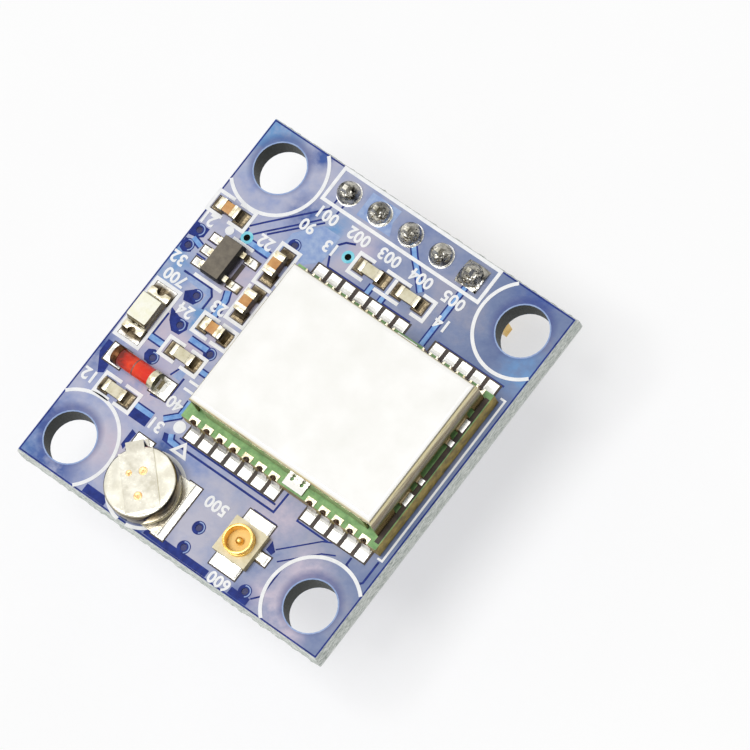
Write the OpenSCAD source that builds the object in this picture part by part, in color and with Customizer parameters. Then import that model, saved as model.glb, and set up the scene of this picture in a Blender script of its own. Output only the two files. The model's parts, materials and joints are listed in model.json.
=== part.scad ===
// Satellite receiver module: a small circuit board that carries a shielded receiver, an antenna socket,
// a backup cell, a regulator, an indicator and a five-pin header on its underside.
// Frame: X along the header edge, Y towards the header, Z out of the component side.
// The origin is the centre of the mounting-hole pattern, on the board's underside.

/* [Circuit board] */
// Width of the board, along the header edge
board_w = 25; // [24.4:0.1:40]
// Length of the board
board_l = 27; // [26.4:0.1:40]
// Thickness of the board
board_t = 1.6; // [0.8:0.1:2.4]
// Diameter of the four mounting holes
hole_d = 3.5; // [2.2:0.1:4]
// Distance from a mounting hole's centre to the side edge
hole_inset_x = 2.5; // [2.3:0.05:3]
// Distance from a mounting hole's centre to the front or back edge
hole_inset_y = 2.6; // [2.3:0.05:3]
// Depth of the V-score left on each face at the board's edges
score_depth = 0.4; // [0.1:0.05:0.6]
// Width of the V-score's slope
score_w = 0.12; // [0.04:0.02:0.3]
// Diameter of the drilled vias
via_d = 0.45; // [0.2:0.05:0.6]
// Thickness of a tinned solder land
land_t = 0.05; // [0.03:0.01:0.15]
// Length of land that shows past the end of a chip
land_toe = 0.48; // [0.2:0.02:0.55]
// Width of land that shows on each side of a chip
land_side = 0.05; // [0:0.01:0.15]

/* [Header] */
// Number of header pins
pin_count = 5; // [2:1:6]
// Spacing of the header pins
pin_pitch = 2.54; // [2.4:0.01:2.6]
// Width of a square header pin
pin_w = 0.64; // [0.4:0.02:0.68]
// Length of a pin below the strip
pin_reach = 6; // [3:0.5:12]
// Height of a pin above the board's top
pin_proud = 1.25; // [1.1:0.05:2.5]
// Length of the taper at each end of a pin
pin_taper = 0.4; // [0.1:0.05:0.8]
// Width of a pin's end face
pin_tip_w = 0.3; // [0.1:0.02:0.38]
// Height of the header strip
strip_h = 2.5; // [1.5:0.1:4]
// Width of the header strip
strip_w = 2.5; // [2:0.05:2.6]
// Chamfer at the corners of each strip segment
strip_chamfer = 0.45; // [0.1:0.05:0.7]
// Distance from the pin row to the board's back edge
pin_inset = 1.5; // [1.32:0.01:1.6]
// Diameter of the plated header holes
pin_hole_d = 1; // [0.98:0.02:1.2]
// Diameter of a header land
pin_land_d = 1.7; // [1.5:0.05:2]
// Height of a header solder joint above its land
joint_h = 0.95; // [0.7:0.05:1.05]
// Height of the solder pillow on the square land of the first pin
pillow_h = 0.4; // [0.2:0.05:0.6]

/* [Receiver module] */
// Length of the module's own board
module_l = 16; // [15:0.1:16.6]
// Width of the module's own board
module_w = 12.2; // [11.6:0.1:13]
// Thickness of the module's own board
module_t = 1.2; // [0.8:0.05:1.4]
// Gap from the module to the main board's side edge
module_gap = 0.85; // [0.2:0.05:1.2]
// Distance of the module's centre behind the main board's centre
module_offset_y = 0.22; // [-0.4:0.02:0.6]
// Spacing of the edge contacts
contact_pitch = 1.1; // [1:0.02:1.16]
// Distance from the first contact to the module's end
contact_end = 1; // [0.8:0.05:1.1]
// Contacts in the longer group on each side
long_group = 7; // [4:1:7]
// Contacts in the shorter group on each side
short_group = 5; // [3:1:5]
// Diameter of the half holes in the module's edge
contact_d = 0.6; // [0.4:0.05:0.7]
// Thickness of the plating in a half hole and on its land
plating_t = 0.06; // [0.03:0.01:0.1]
// Width of a contact's land on the module's top
contact_land_w = 0.7; // [0.66:0.02:0.8]
// Length of a contact's land on the module's top
contact_land_l = 0.42; // [0.36:0.02:0.42]
// Width of the main board's land under a contact
module_land_w = 0.8; // [0.7:0.02:0.9]
// Length of the main board's land that shows outside the module
module_land_out = 0.9; // [0.6:0.05:1]
// Length of the main board's land under the module
module_land_in = 0.7; // [0.3:0.05:1]
// Length of a contact's solder fillet along its land
contact_run = 0.5; // [0.2:0.05:0.55]
// Height of a contact's solder fillet
contact_rise = 0.55; // [0.2:0.05:0.58]

/* [Shield can] */
// Mean margin of module board outside the shield's short walls
shield_margin_x = 0.55; // [0.5:0.05:0.9]
// Mean margin of module board outside the shield's long walls
shield_margin_y = 0.65; // [0.6:0.05:1]
// Distance of the shield's middle to the right of the module's middle
shield_shift_x = 0.14; // [0:0.02:0.16]
// Distance of the shield's middle behind the module's middle
shield_shift_y = 0.16; // [0:0.02:0.16]
// Height of the shield can
shield_h = 2.4; // [1.8:0.05:3]
// Thickness of the shield's sheet
sheet_t = 0.15; // [0.08:0.01:0.2]
// Outer radius of the bend round the shield's lid
bend_r = 0.35; // [0.22:0.01:0.5]
// Width of the slit at each folded corner
slit_w = 0.7; // [0.2:0.05:0.9]
// Height of the gaps under a short wall
notch_h = 0.8; // [0.4:0.05:1]
// Radius of the upper corners of the gaps under the walls
notch_r = 0.2; // [0.05:0.01:0.22]
// Length of the middle gap under a short wall
notch_l = 2.5; // [2:0.1:2.8]
// Distance of the middle gap behind the middle of a short wall
notch_mid = 0.4; // [0:0.05:0.6]
// Length of the other gaps under a short wall
notch_s = 0.55; // [0.45:0.05:0.8]
// Distance of the near gaps from the middle gap
notch_near = 2.05; // [1.95:0.05:2.3]
// Distance of the far gaps from the middle gap
notch_far = 3.75; // [3.4:0.05:4]
// Length of the gaps under a long wall
long_notch_l = 3.6; // [2:0.1:3.8]
// Height of the gaps under a long wall
long_notch_h = 0.3; // [0.26:0.02:0.6]
// Distance of those gaps from the ground foot's middle
long_notch_step = 3.1; // [3:0.05:3.4]
// Clearance from the ground foot on each long wall to the contacts beside it
foot_clear = 0.35; // [0.2:0.05:0.6]
// Gap from the end of each ground foot to the module's edge
foot_end = 0.12; // [0.05:0.01:0.2]
// Diameter of the two relief holes at a ground foot's fold
foot_hole_d = 0.26; // [0.1:0.02:0.3]
// Size of the solder beads at the short walls
bead = 0.25; // [0.1:0.05:0.3]
// Length of a solder bead, as a share of the wall between two gaps
bead_share = 0.75; // [0.5:0.05:0.9]

/* [Under the shield] */
// Side of the receiver chip
chip_side = 6; // [5:0.1:6.6]
// Height of the receiver chip
chip_h = 0.85; // [0.6:0.05:1]
// Distance of the receiver chip from the module's centre
chip_offset = 2.6; // [2.4:0.05:3]
// Gap between the parts under the shield
part_gap = 0.6; // [0.3:0.05:0.7]
// Length of the oscillator
oscillator_l = 2.5; // [2:0.1:3.2]
// Width of the oscillator
oscillator_w = 2; // [1.6:0.1:2.4]
// Height of the oscillator
oscillator_h = 0.8; // [0.6:0.05:1]
// Length of the clock crystal
crystal_l = 3.2; // [2:0.1:3.4]
// Width of the clock crystal
crystal_w = 1.5; // [1.2:0.1:1.8]
// Height of the clock crystal
crystal_h = 0.75; // [0.5:0.05:1]
// Rim of the ceramic base round the lid of the oscillator and the crystal
lid_rim = 0.2; // [0.1:0.05:0.3]
// Height of that lid above its ceramic base
lid_h = 0.25; // [0.1:0.05:0.35]
// Length of the filter and the amplifier
filter_l = 1.4; // [1:0.1:1.6]
// Width of the filter and the amplifier
filter_w = 1.1; // [0.9:0.1:1.3]
// Height of the filter and the amplifier
filter_h = 0.5; // [0.3:0.05:0.8]
// Length of a small passive
passive_l = 1; // [0.6:0.05:1.2]
// Width of a small passive
passive_w = 0.5; // [0.3:0.05:0.6]
// Height of a small passive
passive_h = 0.4; // [0.2:0.05:0.6]
// Number of small passives in a row
passive_count = 6; // [2:1:7]
// Spacing of the small passives
passive_pitch = 1.4; // [1.3:0.05:1.6]

/* [Antenna socket] */
// Distance from the socket's axis to the board's side edge
socket_inset = 8.65; // [7:0.05:9.6]
// Gap from the shell's front tab to the board's front edge
socket_front_gap = 1.25; // [0.3:0.05:1.6]
// Side of the socket's square base
socket_base_w = 2.6; // [2.4:0.05:3]
// Height of the socket's base
socket_base_h = 0.55; // [0.35:0.05:0.7]
// Full height of the socket
socket_h = 1.25; // [1.1:0.05:2]
// Outer diameter of the socket's barrel
barrel_d = 2; // [1.8:0.05:2.2]
// Wall of the socket's barrel
barrel_wall = 0.16; // [0.1:0.01:0.25]
// Depth of the snap groove round the barrel
groove_depth = 0.06; // [0.02:0.01:0.08]
// Width of the snap groove
groove_w = 0.18; // [0.1:0.02:0.24]
// Thickness of the shell's tabs and the contact's tail
socket_tab_t = 0.15; // [0.08:0.01:0.2]
// Width of the shell's ground tabs
socket_tab_w = 2; // [1.6:0.05:2.3]
// Reach of the ground tabs from the socket's axis
socket_tab_reach = 2.05; // [1.8:0.05:2.2]
// Diameter of the centre contact
centre_d = 0.5; // [0.3:0.02:0.6]
// Height of the centre contact
centre_h = 1; // [0.8:0.05:1.1]
// Width of the contact's tail
tail_w = 0.6; // [0.4:0.05:0.8]
// Reach of the tail from the socket's axis
tail_reach = 1.95; // [1.6:0.05:2.2]
// Clearance round the tail where it passes under the barrel
tail_clear = 0.15; // [0.05:0.01:0.25]

/* [Backup cell] */
// Diameter of the cell
cell_d = 4.8; // [4:0.1:5.2]
// Height of the cell
cell_h = 1.4; // [1.1:0.05:2.2]
// Gap from the cell to the board's front edge
cell_front_gap = 0.25; // [0.1:0.05:0.6]
// Distance from the cell's axis to the board's left edge
cell_inset = 8.85; // [8.6:0.05:9.6]
// Width of the rim round the cell's cap, gasket included
rim_w = 0.4; // [0.35:0.05:0.6]
// Height of the cell's cap above the rim of its can
cap_rise = 0.12; // [0.06:0.02:0.2]
// Width of the gasket between can and cap
gasket_w = 0.14; // [0.08:0.01:0.18]
// Depth of the cap and gasket in the can
cap_depth = 0.3; // [0.2:0.05:0.5]
// Edge rounding of the can, as a chamfer
cell_edge = 0.12; // [0.05:0.01:0.15]
// Thickness of the welded tabs
cell_tab_t = 0.12; // [0.08:0.01:0.2]
// Width of the top tab over the cell
top_tab_w = 2.3; // [1.8:0.1:2.8]
// Direction of the top tab's foot, from the X axis
top_tab_angle = 136; // [128:1:140]
// Gap from the top tab's free end to the rim of the can
top_tab_end = 0.35; // [0.2:0.05:0.6]
// Width of the top tab's leg and foot
tab_foot_w = 1.2; // [0.8:0.1:1.4]
// Length of the top tab's foot
tab_foot_l = 0.7; // [0.4:0.05:0.8]
// Clearance between the can and the top tab's leg
leg_clear = 0.2; // [0.1:0.05:0.4]
// Width of the bottom tab
bottom_tab_w = 4; // [3:0.1:4.4]
// Reach of the bottom tab past the can
bottom_tab_out = 0.15; // [0.05:0.05:0.3]
// Length of the bottom tab
bottom_tab_l = 3.5; // [3:0.1:3.7]

/* [Indicator] */
// Length of the indicator
led_l = 3.2; // [2.6:0.1:3.4]
// Width of the indicator
led_w = 1.6; // [1.2:0.05:1.8]
// Height of the indicator's base
led_base_h = 0.35; // [0.25:0.05:0.6]
// Height of the lens above the base
led_lens_h = 0.6; // [0.3:0.05:0.8]
// Gap from the foot of the lens to each end terminal
led_lens_gap = 0.05; // [0.02:0.01:0.2]
// Slope of the lens at each end
led_lens_draft = 0.15; // [0.05:0.05:0.3]
// Length of each end terminal
led_band = 0.5; // [0.42:0.02:0.52]
// Radius of the half-round notch at each end
led_notch_r = 0.3; // [0.2:0.02:0.34]
// Share of the spare width beside the module that lies left of the indicator
led_share = 0.16; // [0.05:0.01:0.5]

/* [Diode] */
// Length of the diode
diode_l = 3.5; // [3:0.1:3.8]
// Diameter of the end caps
diode_cap_d = 1.3; // [1.24:0.02:1.5]
// Length of each end cap
diode_cap_l = 0.45; // [0.3:0.05:0.6]
// Diameter of the glass sleeve
diode_glass_d = 1.2; // [1:0.02:1.22]
// Diameter of the studs inside the glass
diode_stud_d = 0.8; // [0.7:0.05:0.9]
// Diameter of the die between the studs
diode_die_d = 0.6; // [0.4:0.05:0.8]
// Thickness of the die
diode_die_t = 0.16; // [0.1:0.02:0.3]
// Length of land that shows past each end of the diode
diode_toe = 0.85; // [0.3:0.05:0.88]
// Length of each end of the diode that lies on its land
diode_heel = 0.5; // [0.3:0.05:0.7]
// Share of the spare width beside the module that lies left of the diode
diode_share = 0.31; // [0.1:0.01:0.9]

/* [Regulator] */
// Length of the regulator's body
reg_l = 2.9; // [2.6:0.05:3.1]
// Width of the regulator's body
reg_w = 1.6; // [1.4:0.05:1.8]
// Height of the regulator's body
reg_h = 1.05; // [0.8:0.05:1.4]
// Gap under the regulator's body
reg_standoff = 0.08; // [0.03:0.01:0.15]
// Draft of the moulded sides
reg_draft = 0.1; // [0.02:0.02:0.16]
// Reach of the leads out of the regulator's body
lead_reach = 0.6; // [0.55:0.05:0.7]
// Spacing of the leads
reg_pitch = 0.95; // [0.8:0.01:1]
// Width of a lead
lead_w = 0.4; // [0.25:0.05:0.5]
// Thickness of a lead
lead_t = 0.15; // [0.1:0.01:0.2]
// Length of a lead's foot on its land
lead_foot = 0.4; // [0.25:0.05:0.45]
// Lean of a lead's leg
lead_lean = 0.06; // [0:0.02:0.08]
// Depth of a lead in the body
lead_grip = 0.2; // [0.1:0.05:0.3]
// Length of land past a lead's foot
lead_toe = 0.5; // [0.2:0.05:0.55]
// Share of the spare width beside the module that lies left of the regulator
reg_share = 0.49; // [0.1:0.01:0.64]

/* [Chip parts] */
// Length of a chip resistor or capacitor
chip_l = 1.6; // [1.2:0.05:1.75]
// Width of a chip resistor or capacitor
chip_w = 0.8; // [0.6:0.05:0.9]
// Height of a chip capacitor
cap_h = 0.8; // [0.5:0.05:1]
// Height of a chip resistor
res_h = 0.45; // [0.3:0.05:0.6]
// Length of an end terminal
band = 0.3; // [0.2:0.02:0.4]
// Thickness of an end terminal's metal
metal_t = 0.03; // [0.02:0.01:0.06]
// Gap between a resistor's coat and its terminals
coat_gap = 0.05; // [0.02:0.01:0.1]
// Height of a chip's solder fillet
chip_rise = 0.42; // [0.2:0.02:0.44]
// Solder left clear at the outer end of a land
solder_margin = 0.08; // [0.02:0.02:0.14]

/* [Layout] */
// Distance of the first capacitor's middle behind the board's centre
cap_1_y = 6.8; // [6.6:0.05:7.2]
// Distance of the first capacitor's middle from the board's left edge
cap_1_inset = 1.7; // [1.6:0.05:3]
// Gap from the first capacitor to the regulator
reg_gap = 1.08; // [0.4:0.02:1.2]
// Gap from the regulator to the indicator
led_gap = 2.4; // [1.6:0.05:2.6]
// Gap from the indicator to the diode
diode_gap = 1.1; // [0.8:0.05:1.2]
// Gap from the diode to the second resistor
res_2_gap = 0.9; // [0.4:0.05:1.1]
// Distance of the second resistor's middle from the board's left edge
res_2_inset = 3.1; // [2:0.05:5]
// Share of the spare width beside the module that lies left of the bypass capacitors
bypass_share = 0.68; // [0.53:0.01:0.95]
// Distance of the first bypass capacitor behind the board's centre
bypass_y = 5.5; // [5.2:0.05:6.2]
// Gap between the lands of the bypass capacitors
bypass_gap = 0.44; // [0.2:0.02:0.5]
// Gap from the bypass capacitors' lands to the last capacitor
cap_4_gap = 0.95; // [0.4:0.05:1.1]
// Share of the spare width beside the module that lies left of the last capacitor
cap_4_share = 0.77; // [0.25:0.01:0.95]
// Gap from the last capacitor to the first resistor
res_1_gap = 1.65; // [0.6:0.05:1.7]
// Share of the spare width beside the module that lies left of the first resistor
res_1_share = 0.61; // [0.25:0.01:0.95]
// Distance of the back pair of resistors behind the module
pair_gap = 2.28; // [1.8:0.02:2.6]
// Distance between the back pair of resistors
pair_pitch = 3.1; // [2.9:0.05:4]
// Distance of the back pair's middle from the board's centre line
pair_x = 1.05; // [-1:0.05:2]

/* [Hidden] */
// Overshoot of a cutting shape
cut = 0.2;
// Facets of a drawn circle
$fn = 48;
// Steps along a solder fillet's hollow curve
fillet_steps = 4;

left = -board_w / 2;
right = board_w / 2;
front = -board_l / 2;
back = board_l / 2;
seat_z = board_t + land_t;

hole_x = right - hole_inset_x;
hole_y = back - hole_inset_y;
pin_y = back - pin_inset;
module_x = right - module_gap - module_l / 2;
module_y = module_offset_y;
module_top = seat_z + module_t;
shield_l = module_l - 2 * shield_margin_x;
shield_w = module_w - 2 * shield_margin_y;

// Contacts along one edge of the module, from its own centre
contacts = concat(
    [for (k = [0 : long_group - 1]) -module_l / 2 + contact_end + contact_pitch * k],
    [for (k = [0 : short_group - 1]) module_l / 2 - contact_end - contact_pitch * k]);
group_end = contacts[long_group - 1];
group_start = contacts[long_group + short_group - 1];
foot_x = (group_end + group_start) / 2;
foot_w = group_start - group_end - contact_land_w - 2 * foot_clear;

// Gaps under a short wall: distance behind its middle and length
wall_gaps = concat([[notch_mid, notch_l]],
    [for (s = [-1, 1], d = [notch_near, notch_far]) [notch_mid + s * d, notch_s]]);
// Stretches of short wall between two gaps: start and end from the middle gap's centre
posts = [[notch_l / 2, notch_near - notch_s / 2], [notch_near + notch_s / 2, notch_far - notch_s / 2]];

// Places of the parts under the shield, from the module's centre
chip_edge = chip_side / 2 - chip_offset;
oscillator_x = chip_edge + part_gap + oscillator_l / 2;
oscillator_y = (chip_side - oscillator_w) / 2;
crystal_x = chip_edge + part_gap + crystal_l / 2;
crystal_y = (crystal_w - chip_side) / 2;
filter_x = chip_edge + 2 * part_gap + max(oscillator_l, crystal_l) + filter_l / 2;
filter_y = (filter_w + part_gap) / 2;
passive_y = chip_side / 2 + part_gap + passive_w / 2;

socket_x = right - socket_inset;
socket_y = front + socket_front_gap + socket_tab_reach;
cell_x = left + cell_inset;
cell_y = front + cell_front_gap + cell_d / 2;
can_h = cell_h - cap_rise;
cap_d = cell_d - 2 * rim_w;
leg_x = cell_d / 2 + leg_clear;
bottom_tab_x = cell_d / 2 + bottom_tab_out;

// Widths on the board, lands included
chip_span = chip_l + 2 * land_toe;
chip_breadth = chip_w + 2 * land_side;
reg_span = reg_w + 2 * lead_reach;
reg_breadth = reg_span + 2 * lead_toe;
diode_span = diode_l + 2 * diode_toe;

// Strip of board between its left edge and the module, and the widths of two rows across it
side_w = module_x - module_l / 2 - left;
reg_row = reg_breadth + chip_breadth;
led_row = led_w + chip_span;

// X of a part in a row across that strip: what lies before it, its own half and its share of the spare width
function side_x(before, w, row, share) = left + before + w / 2 + share * (side_w - row);

reg_x = side_x(0, reg_breadth, reg_row, reg_share);
reg_y = cap_1_y - chip_w / 2 - reg_gap - reg_l / 2;
led_x = side_x(0, led_w, led_row, led_share);
led_y = reg_y - reg_l / 2 - led_gap - led_l / 2;
diode_x = side_x(0, diode_span, diode_span, diode_share);
diode_y = led_y - led_l / 2 - diode_gap - diode_cap_d / 2;
res_2_y = diode_y - diode_cap_d / 2 - res_2_gap - chip_w / 2;
bypass_x = side_x(reg_breadth, chip_breadth, reg_row, bypass_share);
bypass_2_y = bypass_y - chip_span - bypass_gap;
cap_4_y = bypass_2_y - chip_span / 2 - cap_4_gap - chip_w / 2;
res_1_y = cap_4_y - chip_w - res_1_gap;
pair_y = module_y + module_w / 2 + pair_gap;

// Places of the chip parts: X, Y and turn
cap_places = [
    [left + cap_1_inset, cap_1_y, 0],
    [bypass_x, bypass_y, 90],
    [bypass_x, bypass_2_y, 90],
    [side_x(led_w, chip_span, led_row, cap_4_share), cap_4_y, 0]];
res_places = [
    [side_x(led_w, chip_span, led_row, res_1_share), res_1_y, 0],
    [left + res_2_inset, res_2_y, 0],
    [pair_x - pair_pitch / 2, pair_y, 0],
    [pair_x + pair_pitch / 2, pair_y, 0]];

// Vias: distance from the left edge and Y, then X and distance from the front edge
left_vias = [[0.7, 4.7], [0.7, 3.5], [3.35, 1.1], [3.7, -1.05], [6.6, -1.5], [3.6, -3.75], [3.65, 6]];
front_vias = [[0.8, 2.6], [0.8, 1.05], [5.9, 1]];
vias = concat(
    [for (v = left_vias) [left + v.x, v.y]],
    [for (v = front_vias) [v.x, front + v.y]],
    [[bypass_x, bypass_y + chip_span / 2 + via_d + land_side], [pair_x - pair_pitch - via_d, pair_y]]);

// Colours
blue_mask = [0.50, 0.56, 0.80];
green_mask = [0.33, 0.42, 0.22];
black_plastic = [0.10, 0.10, 0.11];
cream_plastic = [0.93, 0.89, 0.74];
gold = [0.85, 0.66, 0.25];
tin = [0.84, 0.84, 0.82];
steel = [0.90, 0.90, 0.88];
ceramic_tan = [0.62, 0.50, 0.36];
ceramic_white = [0.92, 0.90, 0.84];
glass_red = [0.86, 0.20, 0.10];
dark_chip = [0.16, 0.16, 0.18];

CAPS = [1, 2, 3, 4];
RESISTORS = [1, 2, 3, 4];
PINS = [for (i = [1 : pin_count]) i];

// Puts a part on the lands at its place on the main board
module on_board(x, y, turn = 0) {
    translate([x, y, seat_z]) rotate([0, 0, turn]) children();
}

// Puts a part in the module's own frame, at the height of its top face
module on_module() {
    translate([module_x, module_y, module_top]) children();
}

// Puts a piece in the shield's own frame, at the height of its foot
module on_shield() {
    on_module() translate([shield_shift_x, shield_shift_y, 0]) children();
}

// Block that stands on z = 0 with its middle on the Z axis
module block(l, w, h) {
    translate([-l / 2, -w / 2, 0]) cube([l, w, h]);
}

// Solid whose side views are two outlines drawn with their foot on y = 0
module crossed_profiles(l, w) {
    intersection() {
        rotate([90, 0, 0]) linear_extrude(w, center = true) children(0);
        rotate([90, 0, 90]) linear_extrude(l, center = true) children(1);
    }
}

// Solder fillet with a hollow face: its foot runs along +X from the wall at x = 0
module solder_wedge(run, rise, width) {
    curve = [for (i = [0 : fillet_steps]) let (a = 90 * i / fillet_steps)
        [run * (1 - sin(a)), rise * (1 - cos(a))]];
    rotate([90, 0, 0]) linear_extrude(width, center = true) polygon(concat([[0, 0]], curve));
}

// The same thing at both ends of a part of length l
module both_ends(l) {
    for (turn = [0, 180]) rotate([0, 0, turn]) translate([l / 2, 0, 0]) children();
}

// Board outline in side view, with the V-score's slopes at its edges
module scored_profile(w) {
    polygon([
        [-w / 2 + score_w, 0], [w / 2 - score_w, 0], [w / 2, score_depth],
        [w / 2, board_t - score_depth], [w / 2 - score_w, board_t], [-w / 2 + score_w, board_t],
        [-w / 2, board_t - score_depth], [-w / 2, score_depth]]);
}

module circuit_board() {
    color(blue_mask) difference() {
        crossed_profiles(board_w, board_l) {
            scored_profile(board_w);
            scored_profile(board_l);
        }
        for (sx = [-1, 1], sy = [-1, 1])
            translate([sx * hole_x, sy * hole_y, -cut]) cylinder(d = hole_d, h = board_t + 2 * cut);
        for (i = PINS)
            translate([pin_x(i), pin_y, -cut]) cylinder(d = pin_hole_d, h = board_t + 2 * cut);
        for (v = vias)
            translate([v.x, v.y, -cut]) cylinder(d = via_d, h = board_t + 2 * cut, $fn = 24);
    }
}

// Pair of lands under a part of length l, with the given toe, heel and width
module end_lands(l, toe, heel, width) {
    both_ends(l) translate([-heel, -width / 2, 0]) cube([toe + heel, width, land_t]);
}

module solder_lands() {
    color(tin) translate([0, 0, -land_t]) {
        for (p = concat(cap_places, res_places))
            on_board(p.x, p.y, p[2]) end_lands(chip_l, land_toe, band, chip_w + 2 * land_side);
        on_board(led_x, led_y, 90) end_lands(led_l, land_toe, led_band, led_w);
        on_board(diode_x, diode_y) end_lands(diode_l, diode_toe, diode_heel, diode_cap_d);
        on_board(reg_x, reg_y) reg_leads_places() translate([reg_span / 2 - lead_foot, 0, 0])
            translate([0, -lead_w / 2 - land_side, 0])
                cube([lead_foot + lead_toe, lead_w + 2 * land_side, land_t]);
        on_board(cell_x, cell_y) cell_lands();
        on_board(socket_x, socket_y) socket_lands();
        translate([module_x, module_y, seat_z]) contact_places()
            translate([-module_land_w / 2, -module_land_in, 0])
                cube([module_land_w, module_land_in + module_land_out, land_t]);
        for (i = PINS) on_board(pin_x(i), pin_y) difference() {
            if (i == 1) block(pin_land_d, pin_land_d, land_t);
            else cylinder(d = pin_land_d, h = land_t);
            translate([0, 0, -cut]) cylinder(d = pin_hole_d, h = land_t + 2 * cut);
        }
    }
}

// X of a header pin: the first pin, with the square land, is at the right
function pin_x(i) = ((pin_count + 1) / 2 - i) * pin_pitch;

// One segment of the header strip, with its corners cut
module strip_segment() {
    l = pin_pitch / 2;
    w = strip_w / 2;
    c = strip_chamfer;
    linear_extrude(strip_h) polygon([
        [-l, -w + c], [-l + c, -w], [l - c, -w], [l, -w + c],
        [l, w - c], [l - c, w], [-l + c, w], [-l, w - c]]);
}

module header_strip() {
    color(black_plastic) difference() {
        for (i = PINS) translate([pin_x(i), pin_y, -strip_h]) strip_segment();
        for (i = PINS)
            translate([pin_x(i), pin_y, -strip_h - cut]) block(pin_w, pin_w, strip_h + 2 * cut);
    }
}

// Side view of a header pin, tapered at both ends
module pin_profile() {
    w = pin_w / 2;
    tip = pin_tip_w / 2;
    low = -strip_h - pin_reach;
    high = board_t + pin_proud;
    polygon([
        [-tip, low], [tip, low], [w, low + pin_taper], [w, high - pin_taper],
        [tip, high], [-tip, high], [-w, high - pin_taper], [-w, low + pin_taper]]);
}

module header_pin(i) {
    color(gold) translate([pin_x(i), pin_y, 0]) crossed_profiles(pin_w, pin_w) {
        pin_profile();
        pin_profile();
    }
}

// Cap of a sphere with the given foot radius and height
module sphere_cap(foot_r, h) {
    r = (foot_r * foot_r + h * h) / (2 * h);
    intersection() {
        translate([0, 0, h - r]) sphere(r);
        cylinder(r = 2 * r, h = h + cut);
    }
}

module header_solder() {
    color(tin) for (i = PINS) difference() {
        union() {
            on_board(pin_x(i), pin_y) sphere_cap(pin_land_d / 2 - solder_margin, joint_h);
            translate([pin_x(i), pin_y, 0]) cylinder(d = pin_hole_d, h = seat_z);
            if (i == 1) on_board(pin_x(i), pin_y) intersection() {
                sphere_cap(pin_land_d / sqrt(2), pillow_h);
                block(pin_land_d, pin_land_d, pillow_h);
            }
        }
        header_pin(i);
    }
}

// Repeats its children at each edge contact, with +Y pointing out of the module
module contact_places() {
    for (turn = [0, 180]) rotate([0, 0, turn])
        for (x = contacts) translate([turn == 0 ? x : -x, module_w / 2, 0]) children();
}

module module_board() {
    color(green_mask) on_module() translate([0, 0, -module_t]) difference() {
        block(module_l, module_w, module_t);
        contact_places() translate([0, 0, -cut]) cylinder(d = contact_d, h = module_t + 2 * cut, $fn = 24);
    }
}

module module_contacts() {
    color(gold) on_module() contact_places() difference() {
        union() {
            translate([0, 0, -module_t]) cylinder(d = contact_d, h = module_t, $fn = 24);
            translate([-contact_land_w / 2, -contact_land_l, 0])
                cube([contact_land_w, contact_land_l, plating_t]);
        }
        translate([0, 0, -module_t - cut])
            cylinder(d = contact_d - 2 * plating_t, h = module_t + plating_t + 2 * cut, $fn = 24);
        translate([-contact_d, 0, -module_t - cut])
            cube([2 * contact_d, contact_d, module_t + plating_t + 2 * cut]);
    }
}

module module_solder() {
    color(tin) translate([module_x, module_y, seat_z]) contact_places()
        rotate([0, 0, 90]) solder_wedge(contact_run, contact_rise, contact_land_w);
}

// Side view of a folded lid: square foot, round upper corners
module arch(w, h, r) {
    translate([-w / 2, 0]) square([w, h - r]);
    translate([-w / 2 + r, 0]) square([w - 2 * r, h]);
    for (s = [-1, 1]) translate([s * (w / 2 - r), h - r]) circle(r);
}

// Block with its lid edges rounded
module rounded_lid(l, w, h, r) {
    crossed_profiles(l, w) {
        arch(l, h, r);
        arch(w, h, r);
    }
}

// Gap through the foot of a wall that runs along X
module wall_gap(l, h) {
    translate([0, 0, -cut]) rotate([90, 0, 0])
        linear_extrude(sheet_t + 2 * cut, center = true) arch(l, h + cut, notch_r);
}

// Gaps under the walls and slits at the folded corners of the shield
module shield_cuts() {
    for (s = [-1, 1]) {
        for (g = wall_gaps)
            translate([s * (shield_l - sheet_t) / 2, g[0], 0]) rotate([0, 0, 90]) wall_gap(g[1], notch_h);
        for (k = [-1, 1]) translate([0, s * (shield_w - sheet_t) / 2, 0]) {
            translate([foot_x - shield_shift_x + k * long_notch_step, 0, 0])
                wall_gap(long_notch_l, long_notch_h);
            translate([k * (shield_l / 2 - sheet_t - slit_w / 2), 0, -cut])
                block(slit_w, sheet_t + 2 * cut, shield_h - bend_r + cut);
        }
    }
}

// Foot folded out of a long wall, nearly to the module's edge: s is -1 at the front, 1 at the back
module ground_foot(s) {
    reach = shield_margin_y - s * shield_shift_y - foot_end;
    wall = s * shield_w / 2;
    translate([foot_x - shield_shift_x, 0, 0]) difference() {
        translate([0, wall + s * (reach - sheet_t) / 2, 0]) block(foot_w, reach + sheet_t, sheet_t);
        for (k = [-1, 1]) translate([k * foot_w / 4, wall + s * foot_hole_d / 2, -cut])
            cylinder(d = foot_hole_d, h = sheet_t + 2 * cut, $fn = 16);
    }
}

module shield_can() {
    color(steel) on_shield() {
        difference() {
            rounded_lid(shield_l, shield_w, shield_h, bend_r);
            translate([0, 0, -cut])
                rounded_lid(shield_l - 2 * sheet_t, shield_w - 2 * sheet_t, shield_h - sheet_t + cut,
                    bend_r - sheet_t);
            shield_cuts();
        }
        for (s = [-1, 1]) ground_foot(s);
    }
}

module shield_solder() {
    color(tin) on_shield() for (s = [-1, 1], k = [-1, 1], p = posts)
        translate([s * shield_l / 2, notch_mid + k * (p[0] + p[1]) / 2, 0])
            rotate([0, 0, s > 0 ? 0 : 180]) solder_wedge(bead, bead, bead_share * (p[1] - p[0]));
}

// Receiver chip: a flat moulded block
module receiver_chip() {
    color(dark_chip) on_module() translate([-chip_offset, 0, 0]) block(chip_side, chip_side, chip_h);
}

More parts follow.
